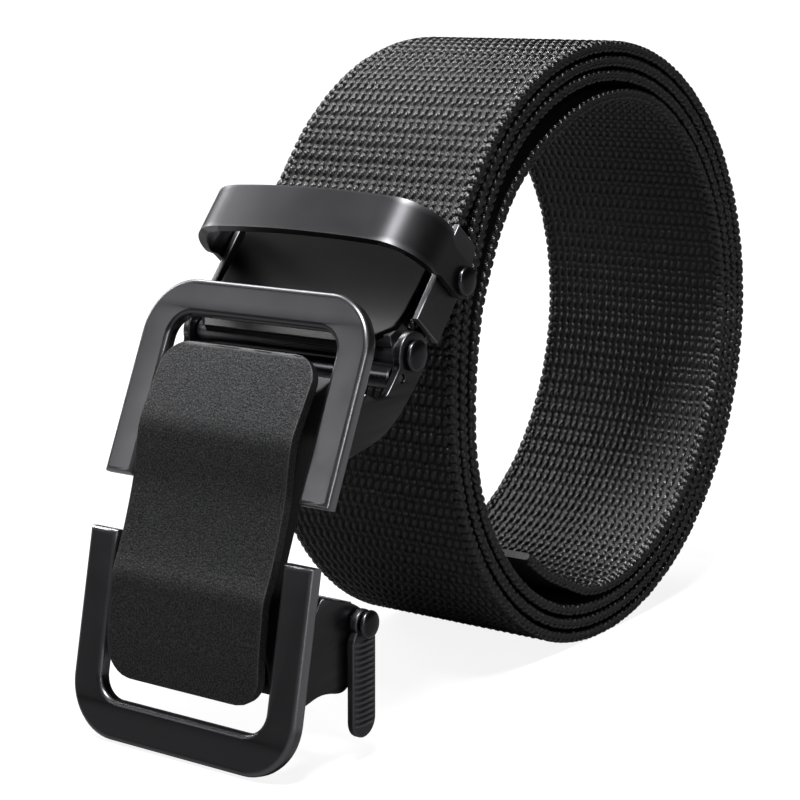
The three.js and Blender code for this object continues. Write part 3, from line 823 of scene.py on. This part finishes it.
class MetalSettings(bpy.types.PropertyGroup):
    """Edges and colours of the metal pieces."""

    edge: bpy.props.FloatProperty(
        name="Frame edge",
        description="Radius of the frames' edges",
        default=0.8 * MM,
        precision=5,
        unit="LENGTH",
    )
    fine: bpy.props.FloatProperty(
        name="Fine edge",
        description="Radius of stamped edges",
        default=0.18 * MM,
        precision=5,
        unit="LENGTH",
    )
    coating: bpy.props.FloatVectorProperty(
        name="Coating",
        description="The clamp and the keeper",
        default=colour("#404042"),
        size=4,
        subtype="COLOR",
    )
    # The ramp's coating is darker than the clamp's: painted shade under the keeper
    shaded: bpy.props.FloatVectorProperty(
        name="Shaded coating",
        description="The ramp of the clamp",
        default=colour("#0a0a0b"),
        size=4,
        subtype="COLOR",
    )
    casting: bpy.props.FloatVectorProperty(
        name="Casting",
        description="The frames",
        default=colour("#38383a"),
        size=4,
        subtype="COLOR",
    )
    blasted: bpy.props.FloatVectorProperty(
        name="Blasted face",
        description="The front plate",
        default=colour("#2d2d2e"),
        size=4,
        subtype="COLOR",
    )
    # The body behind the front plate is darker than the frames' casting: painted shade behind the plate
    shade_darkened: bpy.props.FloatVectorProperty(
        name="Dark casting",
        description="The body behind the front plate",
        default=colour("#262628"),
        size=4,
        subtype="COLOR",
    )
    steel: bpy.props.FloatVectorProperty(
        name="Steel",
        description="Rivets, pins, the guide rod and the cam",
        default=colour("#3a3a3d"),
        size=4,
        subtype="COLOR",
    )
    lever: bpy.props.FloatVectorProperty(
        name="Lever",
        description="The release lever",
        default=colour("#454548"),
        size=4,
        subtype="COLOR",
    )


class StageSettings(bpy.types.PropertyGroup):
    """The light round the object."""

    world: bpy.props.FloatProperty(
        name="Room light", description="Strength of the light from all round", default=0.03
    )
    overhead: bpy.props.FloatProperty(
        name="Overhead", description="Strength of the overhead softbox", default=4.8
    )
    key: bpy.props.FloatProperty(
        name="Key", description="Power of the left softbox", default=2.3, unit="POWER"
    )
    back: bpy.props.FloatProperty(
        name="Back", description="Power of the softbox behind on the left", default=3.5, unit="POWER"
    )
    fill: bpy.props.FloatProperty(
        name="Fill", description="Power of the softbox in front on the left", default=0.6, unit="POWER"
    )
    strip: bpy.props.FloatProperty(
        name="Strip", description="Power of the narrow right light", default=0.7, unit="POWER"
    )
    board: bpy.props.FloatVectorProperty(
        name="Board",
        description="The board that the belt stands on",
        default=colour("#707070"),
        size=4,
        subtype="COLOR",
    )


def grain(mesh, tones, uvs, centre, along, across, normal, size, slant, tone):
    """One yarn float: a rounded ridge that sinks into the core at both ends."""
    length, width, height = size
    points = []
    marks = []
    rows = (-0.72, 0.0, 0.72)
    turns = [math.radians(t) for t in (-88, -42, 0, 42, 88)]

    def put(t, turn, share):
        side = across * (width / 2 * share * math.sin(turn) + slant * t)
        points.append(centre + along * (length / 2 * t) + side + normal * (height * (share * math.cos(turn))))
        marks.append((t, turn))

    put(-1.0, 0, 0.0)
    for t in rows:
        share = (1 - t * t) ** 0.32
        for turn in turns:
            put(t, turn, share)
    put(1.0, 0, 0.0)
    faces = []
    wide = len(turns)
    for k in range(wide - 1):
        faces.append((0, 2 + k, 1 + k))
        for r in range(len(rows) - 1):
            a = 1 + r * wide + k
            faces.append((a, a + 1, a + wide + 1, a + wide))
        a = 1 + (len(rows) - 1) * wide + k
        faces.append((a, a + 1, len(points) - 1))
    mesh.add(points, faces)
    tones += [tone] * len(points)
    uvs += marks


class StrapPath:
    """The middle line of the webbing by length, from the cut end in the clamp."""

    def __init__(self):
        middle = -STRAP_THICKNESS / 2
        points = [STRAP.at(GRIP_DEPTH * (1 - i / GRIP_STEPS), middle) for i in range(GRIP_STEPS)]
        steps = int(COIL_TURNS * STEPS_A_TURN)
        points += [coil_point(COIL_TURNS * i / steps) for i in range(steps + 1)]
        self.points = points
        self.lengths = [0.0]
        for a, b in zip(points, points[1:]):
            self.lengths.append(self.lengths[-1] + (b - a).length)
        self.total = self.lengths[-1]

    def at(self, length):
        """The point and the unit tangent and outward normal at a length."""
        low, high = 0, len(self.points) - 1
        while high - low > 1:
            middle = (low + high) // 2
            if self.lengths[middle] <= length:
                low = middle
            else:
                high = middle
        a, b = self.points[low], self.points[high]
        share = (length - self.lengths[low]) / (self.lengths[high] - self.lengths[low])
        before = self.points[max(low - 2, 0)]
        after = self.points[min(high + 2, len(self.points) - 1)]
        ahead = (after - before).normalized()
        return a.lerp(b, share), ahead, Vector((-ahead.y, ahead.x))

    def at_turn(self, turn):
        """The length where the strap has made that many turns."""
        return self.lengths[GRIP_STEPS + int(turn * STEPS_A_TURN)]


def add_yarn_data(piece, tones, uvs):
    """Gives each yarn its tone, and coordinates along and around it."""
    mesh = piece.data
    layer = mesh.attributes.new("tone", "FLOAT", "POINT")
    layer.data.foreach_set("value", tones)
    uv = mesh.uv_layers.new(name="Yarn")
    for loop in mesh.loops:
        uv.data[loop.index].uv = uvs[loop.vertex_index]


def space(point, x):
    """A point or direction of the side view put in space, at an x of its own."""
    return Vector((x, point.x, point.y))


def make_core(path, rib, nylon):
    """The closed body of the webbing under the yarns."""
    half = STRAP_WIDTH / 2 - CUT_END
    thick = STRAP_THICKNESS / 2 - rib + SEALED
    section = []
    for hand in (1, -1):
        for i in range(7):
            turn = math.radians(-90 * hand + 30 * i)
            section.append((hand * (half - thick) + thick * math.cos(turn), thick * math.sin(turn)))
    count = len(section)
    stations = int(path.total / CORE_STEP)
    points = []
    uvs = []
    for i in range(stations + 1):
        at, _, out = path.at(min(path.total * i / stations, path.total - 1e-6))
        for x, n in section:
            points.append(space(at + out * n, x))
            uvs.append((i * CORE_STEP, x))
    faces = [tuple(range(count)), tuple(stations * count + k for k in range(count))]
    for i in range(stations):
        for k in range(count):
            a = i * count
            j = (k + 1) % count
            faces.append((a + k, a + j, a + count + j, a + count + k))
    strap = make_piece("webbing", points, faces, nylon, "strap_end", ["strap"], 60, False)
    # The core keeps a low fixed tone, so it stays darker than the yarns: painted shade in the gaps between
    # them
    add_yarn_data(strap, [0.2] * len(points), uvs)
    return strap


def make_yarns(name, mesh, tones, uvs, nylon):
    """A piece of many yarns, none of them below the floor."""
    lowest = -CENTRE.z + 0.01
    for p in mesh.points:
        p.z = max(p.z, lowest)
    piece = make_piece(name, mesh.points, mesh.faces, nylon, "strap_end", (), 80, False)
    add_yarn_data(piece, tones, uvs)
    return piece


def make_ribs(name, path, start, end, face, sizes, dice, nylon):
    """Rows of floats and knots on the outer or the inner face."""
    column, row, rib = sizes
    mesh = Mesh()
    tones = []
    uvs = []
    across = Vector((1, 0, 0))
    columns = int((STRAP_WIDTH / 2 - 1.6) / column)
    floor_at = STRAP_THICKNESS / 2 - rib + SEALED - 0.1
    for r in range(int((end - start) / row)):
        for place, long, wide, proud, slant in YARNS:
            at, ahead, out = path.at(start + (r + place) * row)
            along = space(ahead, 0)
            normal = space(out * face, 0)
            for c in range(-columns, columns + 1):
                wave = 0.05 * math.sin(c * 1.9 + r * 0.7)
                aside = Vector((dice.uniform(-YARN_SPREAD, YARN_SPREAD), 0, 0))
                jitter = aside + along * (dice.uniform(-0.07, 0.07) + wave)
                centre = space(at + out * face * floor_at, c * column) + jitter
                lift = rib * dice.uniform(-0.04, 0.04)
                tone = dice.random() ** 1.5
                size = (long, wide, rib + proud + lift)
                grain(mesh, tones, uvs, centre, along, across, normal, size, slant * face, tone)
    return make_yarns(name, mesh, tones, uvs, nylon)


def make_selvages(path, bead, dice, nylon):
    """Knots along both edges, on every turn, and on the faces that can be seen."""
    mesh = Mesh()
    tones = []
    uvs = []
    outer_end = path.at_turn(OUTER_TURNS + 0.02)
    inner_start = path.at_turn(INNER_TURNS)
    for i in range(int(path.total / bead)):
        length = (i + 0.5) * bead
        for side in (1, -1):
            for lane, (x, n) in enumerate(SELVAGE):
                if lane == 2 and not GRIP_DEPTH - 15 < length < outer_end:
                    continue
                if lane == 3 and length < inner_start:
                    continue
                up = 1 if n > 0 else -1
                shift = 0.5 * bead * (lane % 2) + dice.uniform(-0.1, 0.1)
                at, ahead, out = path.at(min(length + shift, path.total - CUT_END))
                along = space(ahead, 0)
                if lane < 2:
                    normal = (Vector((side, 0, 0)) * 0.9 + space(out, 0) * 0.45 * up).normalized()
                    size = RIM_KNOT
                else:
                    normal = space(out * up, 0)
                    size = FACE_KNOT
                across = normal.cross(along)
                centre = space(at + out * n, side * x)
                centre += Vector((dice.uniform(-YARN_SPREAD, YARN_SPREAD), 0, 0))
                slant = dice.uniform(-0.22, 0.22)
                tone = dice.random() ** 1.3
                grain(mesh, tones, uvs, centre, along, across, normal, size, slant, tone)
    return make_yarns("webbing_selvages", mesh, tones, uvs, nylon)


def make_webbing(settings):
    """The webbing: its core, the yarns of both faces and the selvages."""
    path = StrapPath()
    rib = settings.rib / MM
    sizes = (settings.column / MM, settings.row / MM, rib)
    nylon = woven_nylon("Woven nylon, dyed black", settings.yarn, settings.yarn_light, 0.24)
    # The core's material is darker than the yarns': painted shade in the gaps between them
    shade_darkened = woven_nylon("Woven nylon core, dyed black", settings.core, settings.core_light, 0.6)
    strap = make_core(path, rib, shade_darkened)
    dice = random.Random(7)
    start = GRIP_DEPTH - 14.5
    end = path.at_turn(OUTER_TURNS) + 4
    outside = make_ribs("webbing_yarns_outside", path, start, end, 1, sizes, dice, nylon)
    start = path.at_turn(INNER_TURNS)
    end = path.total - 1.2
    inside = make_ribs("webbing_yarns_inside", path, start, end, -1, sizes, dice, nylon)
    edges = make_selvages(path, settings.bead / MM, dice, nylon)


def make_clamp(metal, shaded, settings):
    """The clamp: walls, back plate, ramp and hinge knuckle."""
    fine = settings.fine / MM
    made = Mesh()
    side = [STRAP.at(*p) for p in CLAMP_SIDE]
    hole = bore(KEEPER_AT, KEEPER_HOLE)
    for hand in (1, -1):
        ends = sorted((hand * CHANNEL_HALF, hand * CLAMP_HALF))
        extrude(made, side, ends[0], ends[1], from_side, [hole], fine)
    back = [STRAP.at(*p) for p in CLAMP_BACK]
    extrude(made, back, -CHANNEL_HALF + 0.02, CHANNEL_HALF - 0.02, from_side, (), fine)
    seat = CLAMP_BACK[2][1] - 0.1
    for along in CLAMP_TEETH:
        ridge = ((along - TOOTH_HALF, seat), (along + TOOTH_HALF, seat), (along, seat + TOOTH_RISE))
        extrude(made, [STRAP.at(*p) for p in ridge], -RAMP_HALF, RAMP_HALF, from_side, (), 0.05, 1)
    extrude(made, [STRAP.at(*p) for p in HINGE_WEB], -RAMP_HALF, RAMP_HALF, from_side, (), 0.25)
    knuckle = arc(HINGE_AT, KNUCKLE_RADIUS, 0, 351, 39)
    eye = bore(HINGE_AT, PIN_RADIUS + FIT)
    extrude(made, knuckle, -STRAP_WIDTH / 2, STRAP_WIDTH / 2, from_side, [eye], 0.2)
    make_piece("clamp_body", made.points, made.faces, metal, "strap_end", ["clamp"])
    front = [STRAP.at(RAMP_START + a * RAMP_LENGTH, RAMP_FRONT + h * RAMP_RISE) for a, h in RAMP_CURVE]
    path = spline(front, 6)
    widths = []
    for i in range(len(path)):
        reach = (path[-1] - path[i]).length
        widths.append(RAMP_HALF - max(0.0, RAMP_CORNER - reach) * 0.8)
    points, faces = plate_rows(path, RAMP_METAL, widths, 8)
    # The ramp gets the darker coating: painted shade under the keeper
    ramp = make_piece("clamp_ramp", points, faces, shaded, "strap_end", (), 35, False)
    soften(ramp, 0.25)


def keeper_band():
    """The keeper's outer line as x and height over the strap."""
    half = KEEPER_HALF
    corner = KEEPER_CORNER

    def rise(x):
        return KEEPER_REACH + KEEPER_BOW * (1 - (x / half) ** 2)

    low = KEEPER_PIVOT[1]
    right = [Vector((half, low - KEEPER_ARM * math.cos(math.radians(9 * k)))) for k in range(10)]
    right += [Vector((half, low + (rise(half) - corner - low) * k / 12)) for k in range(1, 12)]
    for k in range(11):
        turn = math.radians(9 * k)
        x = half - corner + corner * math.cos(turn)
        right.append(Vector((x, rise(x) - corner + corner * math.sin(turn))))
    places = [(half - corner) * (1 - k / 12) for k in range(1, 12)]
    top = [Vector((x, rise(x))) for x in places]
    middle = [Vector((0, rise(0)))]
    left = [Vector((-p.x, p.y)) for p in reversed(right + top)]
    return right + top + middle + left


def make_keeper(metal):
    """The keeper: a band across the top that narrows to an arm with a round end on each side."""
    line = keeper_band()
    count = len(line)
    low = KEEPER_PIVOT[1]
    shoulder = KEEPER_REACH - KEEPER_CORNER
    columns = 8
    wide = columns + 1
    points = []
    for layer in (0, 1):
        for i, at in enumerate(line):
            ahead = (line[min(i + 1, count - 1)] - line[max(i - 1, 0)]).normalized()
            inward = Vector((-ahead.y, ahead.x))
            share = min(1.0, max(0.0, (at.y - shoulder) / 2))
            metal_here = KEEPER_METAL[0] + (KEEPER_METAL[1] - KEEPER_METAL[0]) * share
            here = at + inward * metal_here * layer
            height = at.y - low
            if height <= 0:
                reach = math.sqrt(max(0.0, KEEPER_ARM**2 - height**2))
                ends = (KEEPER_PIVOT[0] - reach, KEEPER_PIVOT[0] + reach)
            else:
                arm = (KEEPER_PIVOT[0] - KEEPER_ARM, KEEPER_PIVOT[0] + KEEPER_ARM)
                grow = min(1.0, max(0.0, (at.y - shoulder + KEEPER_TAPER) / KEEPER_TAPER))
                grow = grow * grow * (3 - 2 * grow)
                ends = (
                    arm[0] + (KEEPER_SPAN[0] - arm[0]) * grow,
                    arm[1] + (KEEPER_SPAN[1] - arm[1]) * grow,
                )
            for k in range(wide):
                side = STRAP.at(ends[0] + (ends[1] - ends[0]) * k / columns, here.y)
                points.append(Vector((here.x, side.x, side.y)))
    layer = count * wide
    faces = []
    for i in range(count - 1):
        for k in range(columns):
            a = i * wide + k
            faces.append((a, a + 1, a + wide + 1, a + wide))
            faces.append((a + layer, a + layer + wide, a + layer + wide + 1, a + layer + 1))
        for k in (0, columns):
            a = i * wide + k
            faces.append((a, a + wide, a + wide + layer, a + layer))
    for i in (0, count - 1):
        for k in range(columns):
            a = i * wide + k
            faces.append((a, a + 1, a + 1 + layer, a + layer))
    piece = make_piece(
        "keeper_loop", points, faces, metal, "keeper_loop", ["keeper"], 35, False
    )
    built = bmesh.new()
    built.from_mesh(piece.data)
    bmesh.ops.remove_doubles(built, verts=built.verts, dist=0.02 * MM)
    built.to_mesh(piece.data)
    built.free()
    soften(piece, 0.3)


def frame_outline(bar, bar_first):
    """An open frame's outline as x and down."""
    half = FRAME_HALF
    length = FRAME_LENGTH
    big = OUTER_RADIUS
    small = INNER_RADIUS
    inner = half - FRAME_LEG
    points = [Vector((half, length))]
    points += arc((half - big, big), big, 0, -90, 14)
    points += arc((big - half, big), big, -90, -180, 14)
    points += [Vector((-half, length)), Vector((-inner, length))]
    points += arc((small - inner, bar + small), small, 180, 270, 10)
    points += arc((inner - small, bar + small), small, 270, 360, 10)
    points += [Vector((inner, length))]
    if not bar_first:
        points = [Vector((p.x, length - p.y)) for p in points]
    return points


def deck(made, plane, span, fine):
    """The flat plate across the back of a frame."""
    low, high = span[0] * FRAME_LENGTH, span[1] * FRAME_LENGTH
    back = DECK_SETBACK + DECK_THICKNESS
    corners = ((low, DECK_SETBACK), (high, DECK_SETBACK), (high, back), (low, back))
    outline = [plane.at(*p) for p in corners]
    extrude(made, outline, -EAR_OUTER + 0.05, EAR_OUTER - 0.05, from_side, (), fine)


def make_frames(metal, settings):
    """Both open frames with the ears and walls behind them."""
    edge = settings.edge / MM
    fine = settings.fine / MM
    made = Mesh()
    extrude(made, frame_outline(UPPER_BAR, True), 0, FRAME_THICKNESS, in_plane(UPPER), (), edge)
    ear = [UPPER.at(a * FRAME_LENGTH, d * HINGE_SETBACK) for a, d in EAR_NOTCH]
    ear += [UPPER.at(p.x, p.y) for p in arc((HINGE_DROP, HINGE_SETBACK), EAR_RADIUS, -50, -285, 24)]
    ear += [UPPER.at(a * FRAME_LENGTH, d * HINGE_SETBACK) for a, d in EAR_BACK]
    holes = [bore(HINGE_AT, PIN_RADIUS + FIT), bore(GUIDE_AT, GUIDE_HOLE)]
    for hand in (1, -1):
        ends = sorted((hand * CHANNEL_HALF, hand * EAR_OUTER))
        extrude(made, eased(ear), ends[0], ends[1], from_side, holes, fine)
    deck(made, UPPER, UPPER_DECK, fine)
    make_piece("frame_top", made.points, made.faces, metal, "buckle", ["upper_frame"])
    made = Mesh()
    extrude(made, frame_outline(LOWER_BAR, False), 0, FRAME_THICKNESS, in_plane(LOWER), (), edge)
    wall = eased([LOWER.at(a * FRAME_LENGTH, d * CAM[1]) for a, d in WALL_EDGE])
    holes = [bore(CAM_AT, CAM_HOLE)]
    for hand in (1, -1):
        ends = sorted((hand * CHANNEL_HALF, hand * EAR_OUTER))
        extrude(made, wall, ends[0], ends[1], from_side, holes, fine)
    deck(made, LOWER, LOWER_DECK, fine)
    make_piece("frame_bottom", made.points, made.faces, metal, "buckle", ["lower_frame"])


def wave_path(steps):
    """The front plate's face in the side view, over both frames."""
    points = [UPPER.at(a * FRAME_LENGTH, -h * PLATE_PROUD) for a, h in UPPER_WAVE]
    points += [LOWER.at(a * FRAME_LENGTH, -h * PLATE_PROUD) for a, h in LOWER_WAVE]
    return spline(points, steps)


def make_front_plate(metal, shade_darkened):
    """The wavy front plate and the body behind it."""
    path = wave_path(10)
    lengths = [0.0]
    for a, b in zip(path, path[1:]):
        lengths.append(lengths[-1] + (b - a).length)
    total = lengths[-1]
    widths = []
    for length in lengths:
        near = min(length, total - length)
        short = max(0.0, PLATE_CORNER - near)
        widths.append(PLATE_HALF - PLATE_CORNER + math.sqrt(max(0.0, PLATE_CORNER**2 - short**2)))
    points, faces = plate_rows(path, PLATE_THICKNESS, widths, 16)
    plate = make_piece(
        "face_plate", points, faces, metal, "buckle", ["front_plate"], 35, False
    )
    soften(plate, 0.4, 3, 50)
    path = wave_path(3)
    front = []
    for i, at in enumerate(path):
        ahead = (path[min(i + 1, len(path) - 1)] - path[max(i - 1, 0)]).normalized()
        front.append(at + Vector((-ahead.y, ahead.x)) * (PLATE_THICKNESS + 0.1))
    back = DECK_SETBACK - FIT
    front = [p for p in front if UPPER.at(0, 0).y > p.y]
    profile = front[4:-4] + [
        LOWER.at(0.625 * FRAME_LENGTH, back), LOWER.at(0, back), UPPER.at(FRAME_LENGTH, back),
        UPPER.at(0.384 * FRAME_LENGTH, back),
    ]
    made = Mesh()
    extrude(made, profile, -BLOCK_HALF, BLOCK_HALF, from_side, (), 0.3)
    # The body gets the darker casting: painted shade behind the front plate
    make_piece("plate_body", made.points, made.faces, shade_darkened, "buckle", ["plate_block"])


def make_fittings(steel):
    """Rivets, pins, the guide rod and the cam."""
    seat = KEEPER_HALF + FIT
    for hand, name in ((1, "right"), (-1, "left")):
        made = Mesh()
        shank = [(RIVET_END, 0), (RIVET_END, RIVET_SHANK), (seat - 0.01, RIVET_SHANK)]
        shank.append((seat, RIVET_HEAD - 0.2))
        profile = [(hand * x, r) for x, r in shank] + dome(hand * seat, RIVET_HEAD, hand)
        turned(made, KEEPER_AT, profile)
        node = "keeper_rivet_" + name
        make_piece("rivet_" + name, made.points, made.faces, steel, "strap_end", [node])
    seat = EAR_OUTER + FIT
    made = Mesh()
    profile = list(reversed(dome(-seat, PIN_HEAD, -1))) + [(-seat, PIN_RADIUS), (seat, PIN_RADIUS)]
    turned(made, HINGE_AT, profile + dome(seat, PIN_HEAD, 1))
    make_piece("pin_of_hinge", made.points, made.faces, steel, "buckle", ["hinge_pin"])
    made = Mesh()
    half = STRAP_WIDTH / 2
    end = EAR_OUTER - FIT
    axle = [(end, 0), (end, GUIDE_AXLE - 0.1), (end - 0.1, GUIDE_AXLE), (half, GUIDE_AXLE)]
    shaft = axle + [(half, GUIDE_RADIUS - 0.2), (half - 0.2, GUIDE_RADIUS)]
    profile = [(-x, r) for x, r in shaft] + list(reversed(shaft))
    turned(made, GUIDE_AT, profile)
    make_piece("strap_guide", made.points, made.faces, steel, "buckle", ["guide_rod"])
    made = Mesh()
    teeth = []
    for i in range(2 * CAM_TEETH):
        radius = CAM_RADIUS if i % 2 == 0 else CAM_RADIUS - CAM_TOOTH
        turn = math.pi * i / CAM_TEETH
        teeth.append(CAM_AT + Vector((math.cos(turn), math.sin(turn))) * radius)
    extrude(made, teeth, -half, half, from_side, (), 0.12, 2)
    seat = EAR_OUTER + 2 * FIT + LEVER_THICKNESS
    left = -EAR_OUTER - FIT
    profile = list(reversed(dome(left, CAM_HEAD, -1))) + [(left, CAM_SHAFT), (seat, CAM_SHAFT)]
    turned(made, CAM_AT, profile + dome(seat, CAM_HEAD, 1))
    make_piece("cam_roller", made.points, made.faces, steel, "lever", ["cam"])


def make_lever(metal):
    """The release lever with the ribs on its paddle."""
    hang = Side(CAM_AT, -90 - BUCKLE_TILT + FRAME_BEND + LEVER_HANG, 1)
    top = LEVER_LENGTH - LEVER_PADDLE
    half = LEVER_HALF
    outline = [hang.at(p.x, p.y) for p in arc((0, 0), CAM_HEAD, 60, 300, 24)]
    outline += [hang.at(top, -half * 0.9), hang.at(top + 0.6, -half)]
    outline += [hang.at(p.x, p.y) for p in arc((LEVER_LENGTH - half, 0), half, -90, 90, 18)]
    outline += [hang.at(top + 0.6, half), hang.at(top, half * 0.9)]
    made = Mesh()
    inner = EAR_OUTER + FIT
    outer = inner + LEVER_THICKNESS - 0.25
    extrude(made, outline, inner, outer, from_side, [bore(CAM_AT, CAM_HOLE)], 0.3)
    along = Vector((0, hang.out.x, hang.out.y))
    across = Vector((0, hang.along.x, hang.along.y))
    unused = []
    for i in range(LEVER_RIBS):
        down = top + 0.9 + i * RIB_PITCH
        at = hang.at(down, 0)
        reach = min(half, math.sqrt(max(0.3, half**2 - max(0.0, down - LEVER_LENGTH + half) ** 2)))
        centre = Vector((outer - 0.05, at.x, at.y))
        size = (2 * reach - 0.2, 0.7, 0.3)
        grain(made, unused, unused, centre, along, across, Vector((1, 0, 0)), size, 0.0, 0.0)
    make_piece("lever_paddle", made.points, made.faces, metal, "lever", ["release_lever"])


class BuildStage(bpy.types.Operator):
    """Adds the floor, the lights and the camera."""

    bl_idname = "belt.build_stage"
    bl_label = "Stage"

    def execute(self, context):
        settings = context.scene.belt_stage
        scene = context.scene
        round_it = math.radians(CAMERA_AZIMUTH)
        up = math.radians(CAMERA_ELEVATION)
        level = math.cos(up)
        back = Vector((math.sin(round_it) * level, -math.cos(round_it) * level, math.sin(up)))
        camera = bpy.data.objects.new("Camera", bpy.data.cameras.new("Camera"))
        camera.data.lens = CAMERA_LENS
        camera.data.sensor_width = 36
        camera.data.clip_start = 0.01
        camera.location = (Vector(CAMERA_TARGET) + back * CAMERA_DISTANCE + CENTRE) * MM
        camera.rotation_euler = back.to_track_quat("Z", "Y").to_euler()
        scene.collection.objects.link(camera)
        scene.camera = camera
        world = bpy.data.worlds.new("Studio")
        world.use_nodes = True
        tree = world.node_tree
        tree.nodes.clear()
        # The room is dim, but the wall behind the board is lit as white as the board
        seen = add_node(tree, "ShaderNodeLightPath").outputs["Is Camera Ray"]
        strength = add_node(
            tree,
            "ShaderNodeMapRange",
            inputs={
                "Value": seen, "From Min": 0.0, "From Max": 1.0,
                "To Min": settings.world, "To Max": SEEN_WALL,
            },
        ).outputs["Result"]
        light = add_node(tree, "ShaderNodeBackground", inputs={"Color": (1, 1, 1, 1), "Strength": strength})
        add_node(tree, "ShaderNodeOutputWorld", inputs={"Surface": light.outputs["Background"]})
        scene.world = world
        scene.view_settings.view_transform = "Standard"
        sky = bpy.data.lights.new("Overhead softbox", "SUN")
        sky.energy = settings.overhead
        sky.angle = math.radians(OVERHEAD_ANGLE)
        lamp = bpy.data.objects.new("Overhead softbox", sky)
        lamp.rotation_euler = Vector(OVERHEAD_FROM).to_track_quat("Z", "Y").to_euler()
        scene.collection.objects.link(lamp)
        for name, place, size, power in SOFTBOXES:
            data = bpy.data.lights.new(name, "AREA")
            data.shape = "RECTANGLE"
            data.size, data.size_y = size
            data.energy = getattr(settings, power)
            lamp = bpy.data.objects.new(name, data)
            lamp.location = place
            aim = Vector(place) - Vector(LAMP_AIM)
            lamp.rotation_euler = aim.to_track_quat("Z", "Y").to_euler()
            scene.collection.objects.link(lamp)
        mesh = bpy.data.meshes.new("floor")
        rows = [(-4, -2, 0), (4, -2, 0), (4, 4, 0), (-4, 4, 0)]
        mesh.from_pydata(rows, [], [(0, 1, 2, 3)])
        mesh.materials.append(lit_board("Frosted acrylic, lit", settings.board))
        floor = bpy.data.objects.new("floor", mesh)
        scene.collection.objects.link(floor)
        return {"FINISHED"}


class BuildWebbing(bpy.types.Operator):
    """Adds the rolled webbing with its yarns and selvages."""

    bl_idname = "belt.build_webbing"
    bl_label = "Webbing"

    def execute(self, context):
        make_webbing(context.scene.belt_webbing)
        return {"FINISHED"}


class BuildClamp(bpy.types.Operator):
    """Adds the clamp and the keeper."""

    bl_idname = "belt.build_clamp"
    bl_label = "Clamp and keeper"

    def execute(self, context):
        settings = context.scene.belt_metal
        # The light hex colour given to each finish is a painted highlight on its pointed edges
        metal = coated_metal("Stamped steel, satin black", settings.coating, "#88888b", 0.4, 0.25, 0.012, 4.0)
        # The ramp's coating is darker than the clamp's: painted shade under the keeper
        shaded = coated_metal("Stamped steel, dull black", settings.shaded, "#222224", 0.44, 0.4, 0.015, 4.0)
        make_clamp(metal, shaded, settings)
        make_keeper(metal)
        return {"FINISHED"}


class BuildBuckle(bpy.types.Operator):
    """Adds the frames and the front plate."""

    bl_idname = "belt.build_buckle"
    bl_label = "Buckle"

    def execute(self, context):
        settings = context.scene.belt_metal
        # The light hex colour given to each finish, the last one for the blasted face, is a painted highlight
        # on its pointed edges
        metal = coated_metal("Cast zinc, satin black", settings.casting, "#8c8c90", 0.32, 0.3, 0.015, 3.5)
        grained = blasted_metal("Cast zinc, blasted black", settings.blasted, "#505051", "#5a5a5b", 0.52)
        # Darker than the frames' casting: painted shade behind the front plate
        shade_darkened = coated_metal("Cast zinc, unpolished black", settings.shade_darkened, "#3c3c3e", 0.42, 0.5, 0.02, 3.0)
        make_frames(metal, settings)
        make_front_plate(grained, shade_darkened)
        return {"FINISHED"}


class BuildFittings(bpy.types.Operator):
    """Adds the rivets, the pins, the guide rod, the cam and the lever."""

    bl_idname = "belt.build_fittings"
    bl_label = "Fittings"

    def execute(self, context):
        settings = context.scene.belt_metal
        # The light hex colour given to each finish is a painted highlight on its pointed edges
        steel = coated_metal("Turned steel, blackened", settings.steel, "#606064", 0.28, 0.3, 0.01, 4.0)
        metal = coated_metal("Cast zinc lever, black", settings.lever, "#68686c", 0.38, 0.4, 0.015, 4.0)
        make_fittings(steel)
        make_lever(metal)
        return {"FINISHED"}


class BeltPanel(bpy.types.Panel):
    """Buttons for each part of the belt."""

    bl_idname = "VIEW3D_PT_belt"
    bl_label = "Belt"
    bl_space_type = "VIEW_3D"
    bl_region_type = "UI"
    bl_category = "Belt"

    def draw(self, context):
        for operator in OPERATORS:
            self.layout.operator(operator.bl_idname)


OPERATORS = (BuildStage, BuildWebbing, BuildClamp, BuildBuckle, BuildFittings)
CLASSES = (WebbingSettings, MetalSettings, StageSettings, *OPERATORS, BeltPanel)


def register():
    for item in CLASSES:
        bpy.utils.register_class(item)
    bpy.types.Scene.belt_webbing = bpy.props.PointerProperty(type=WebbingSettings)
    bpy.types.Scene.belt_metal = bpy.props.PointerProperty(type=MetalSettings)
    bpy.types.Scene.belt_stage = bpy.props.PointerProperty(type=StageSettings)


def unregister():
    del bpy.types.Scene.belt_stage
    del bpy.types.Scene.belt_metal
    del bpy.types.Scene.belt_webbing
    for item in reversed(CLASSES):
        bpy.utils.unregister_class(item)


def main():
    register()
    bpy.ops.belt.build_stage()
    bpy.ops.belt.build_webbing()
    bpy.ops.belt.build_clamp()
    bpy.ops.belt.build_buckle()
    bpy.ops.belt.build_fittings()


if __name__ == "__main__":
    main()
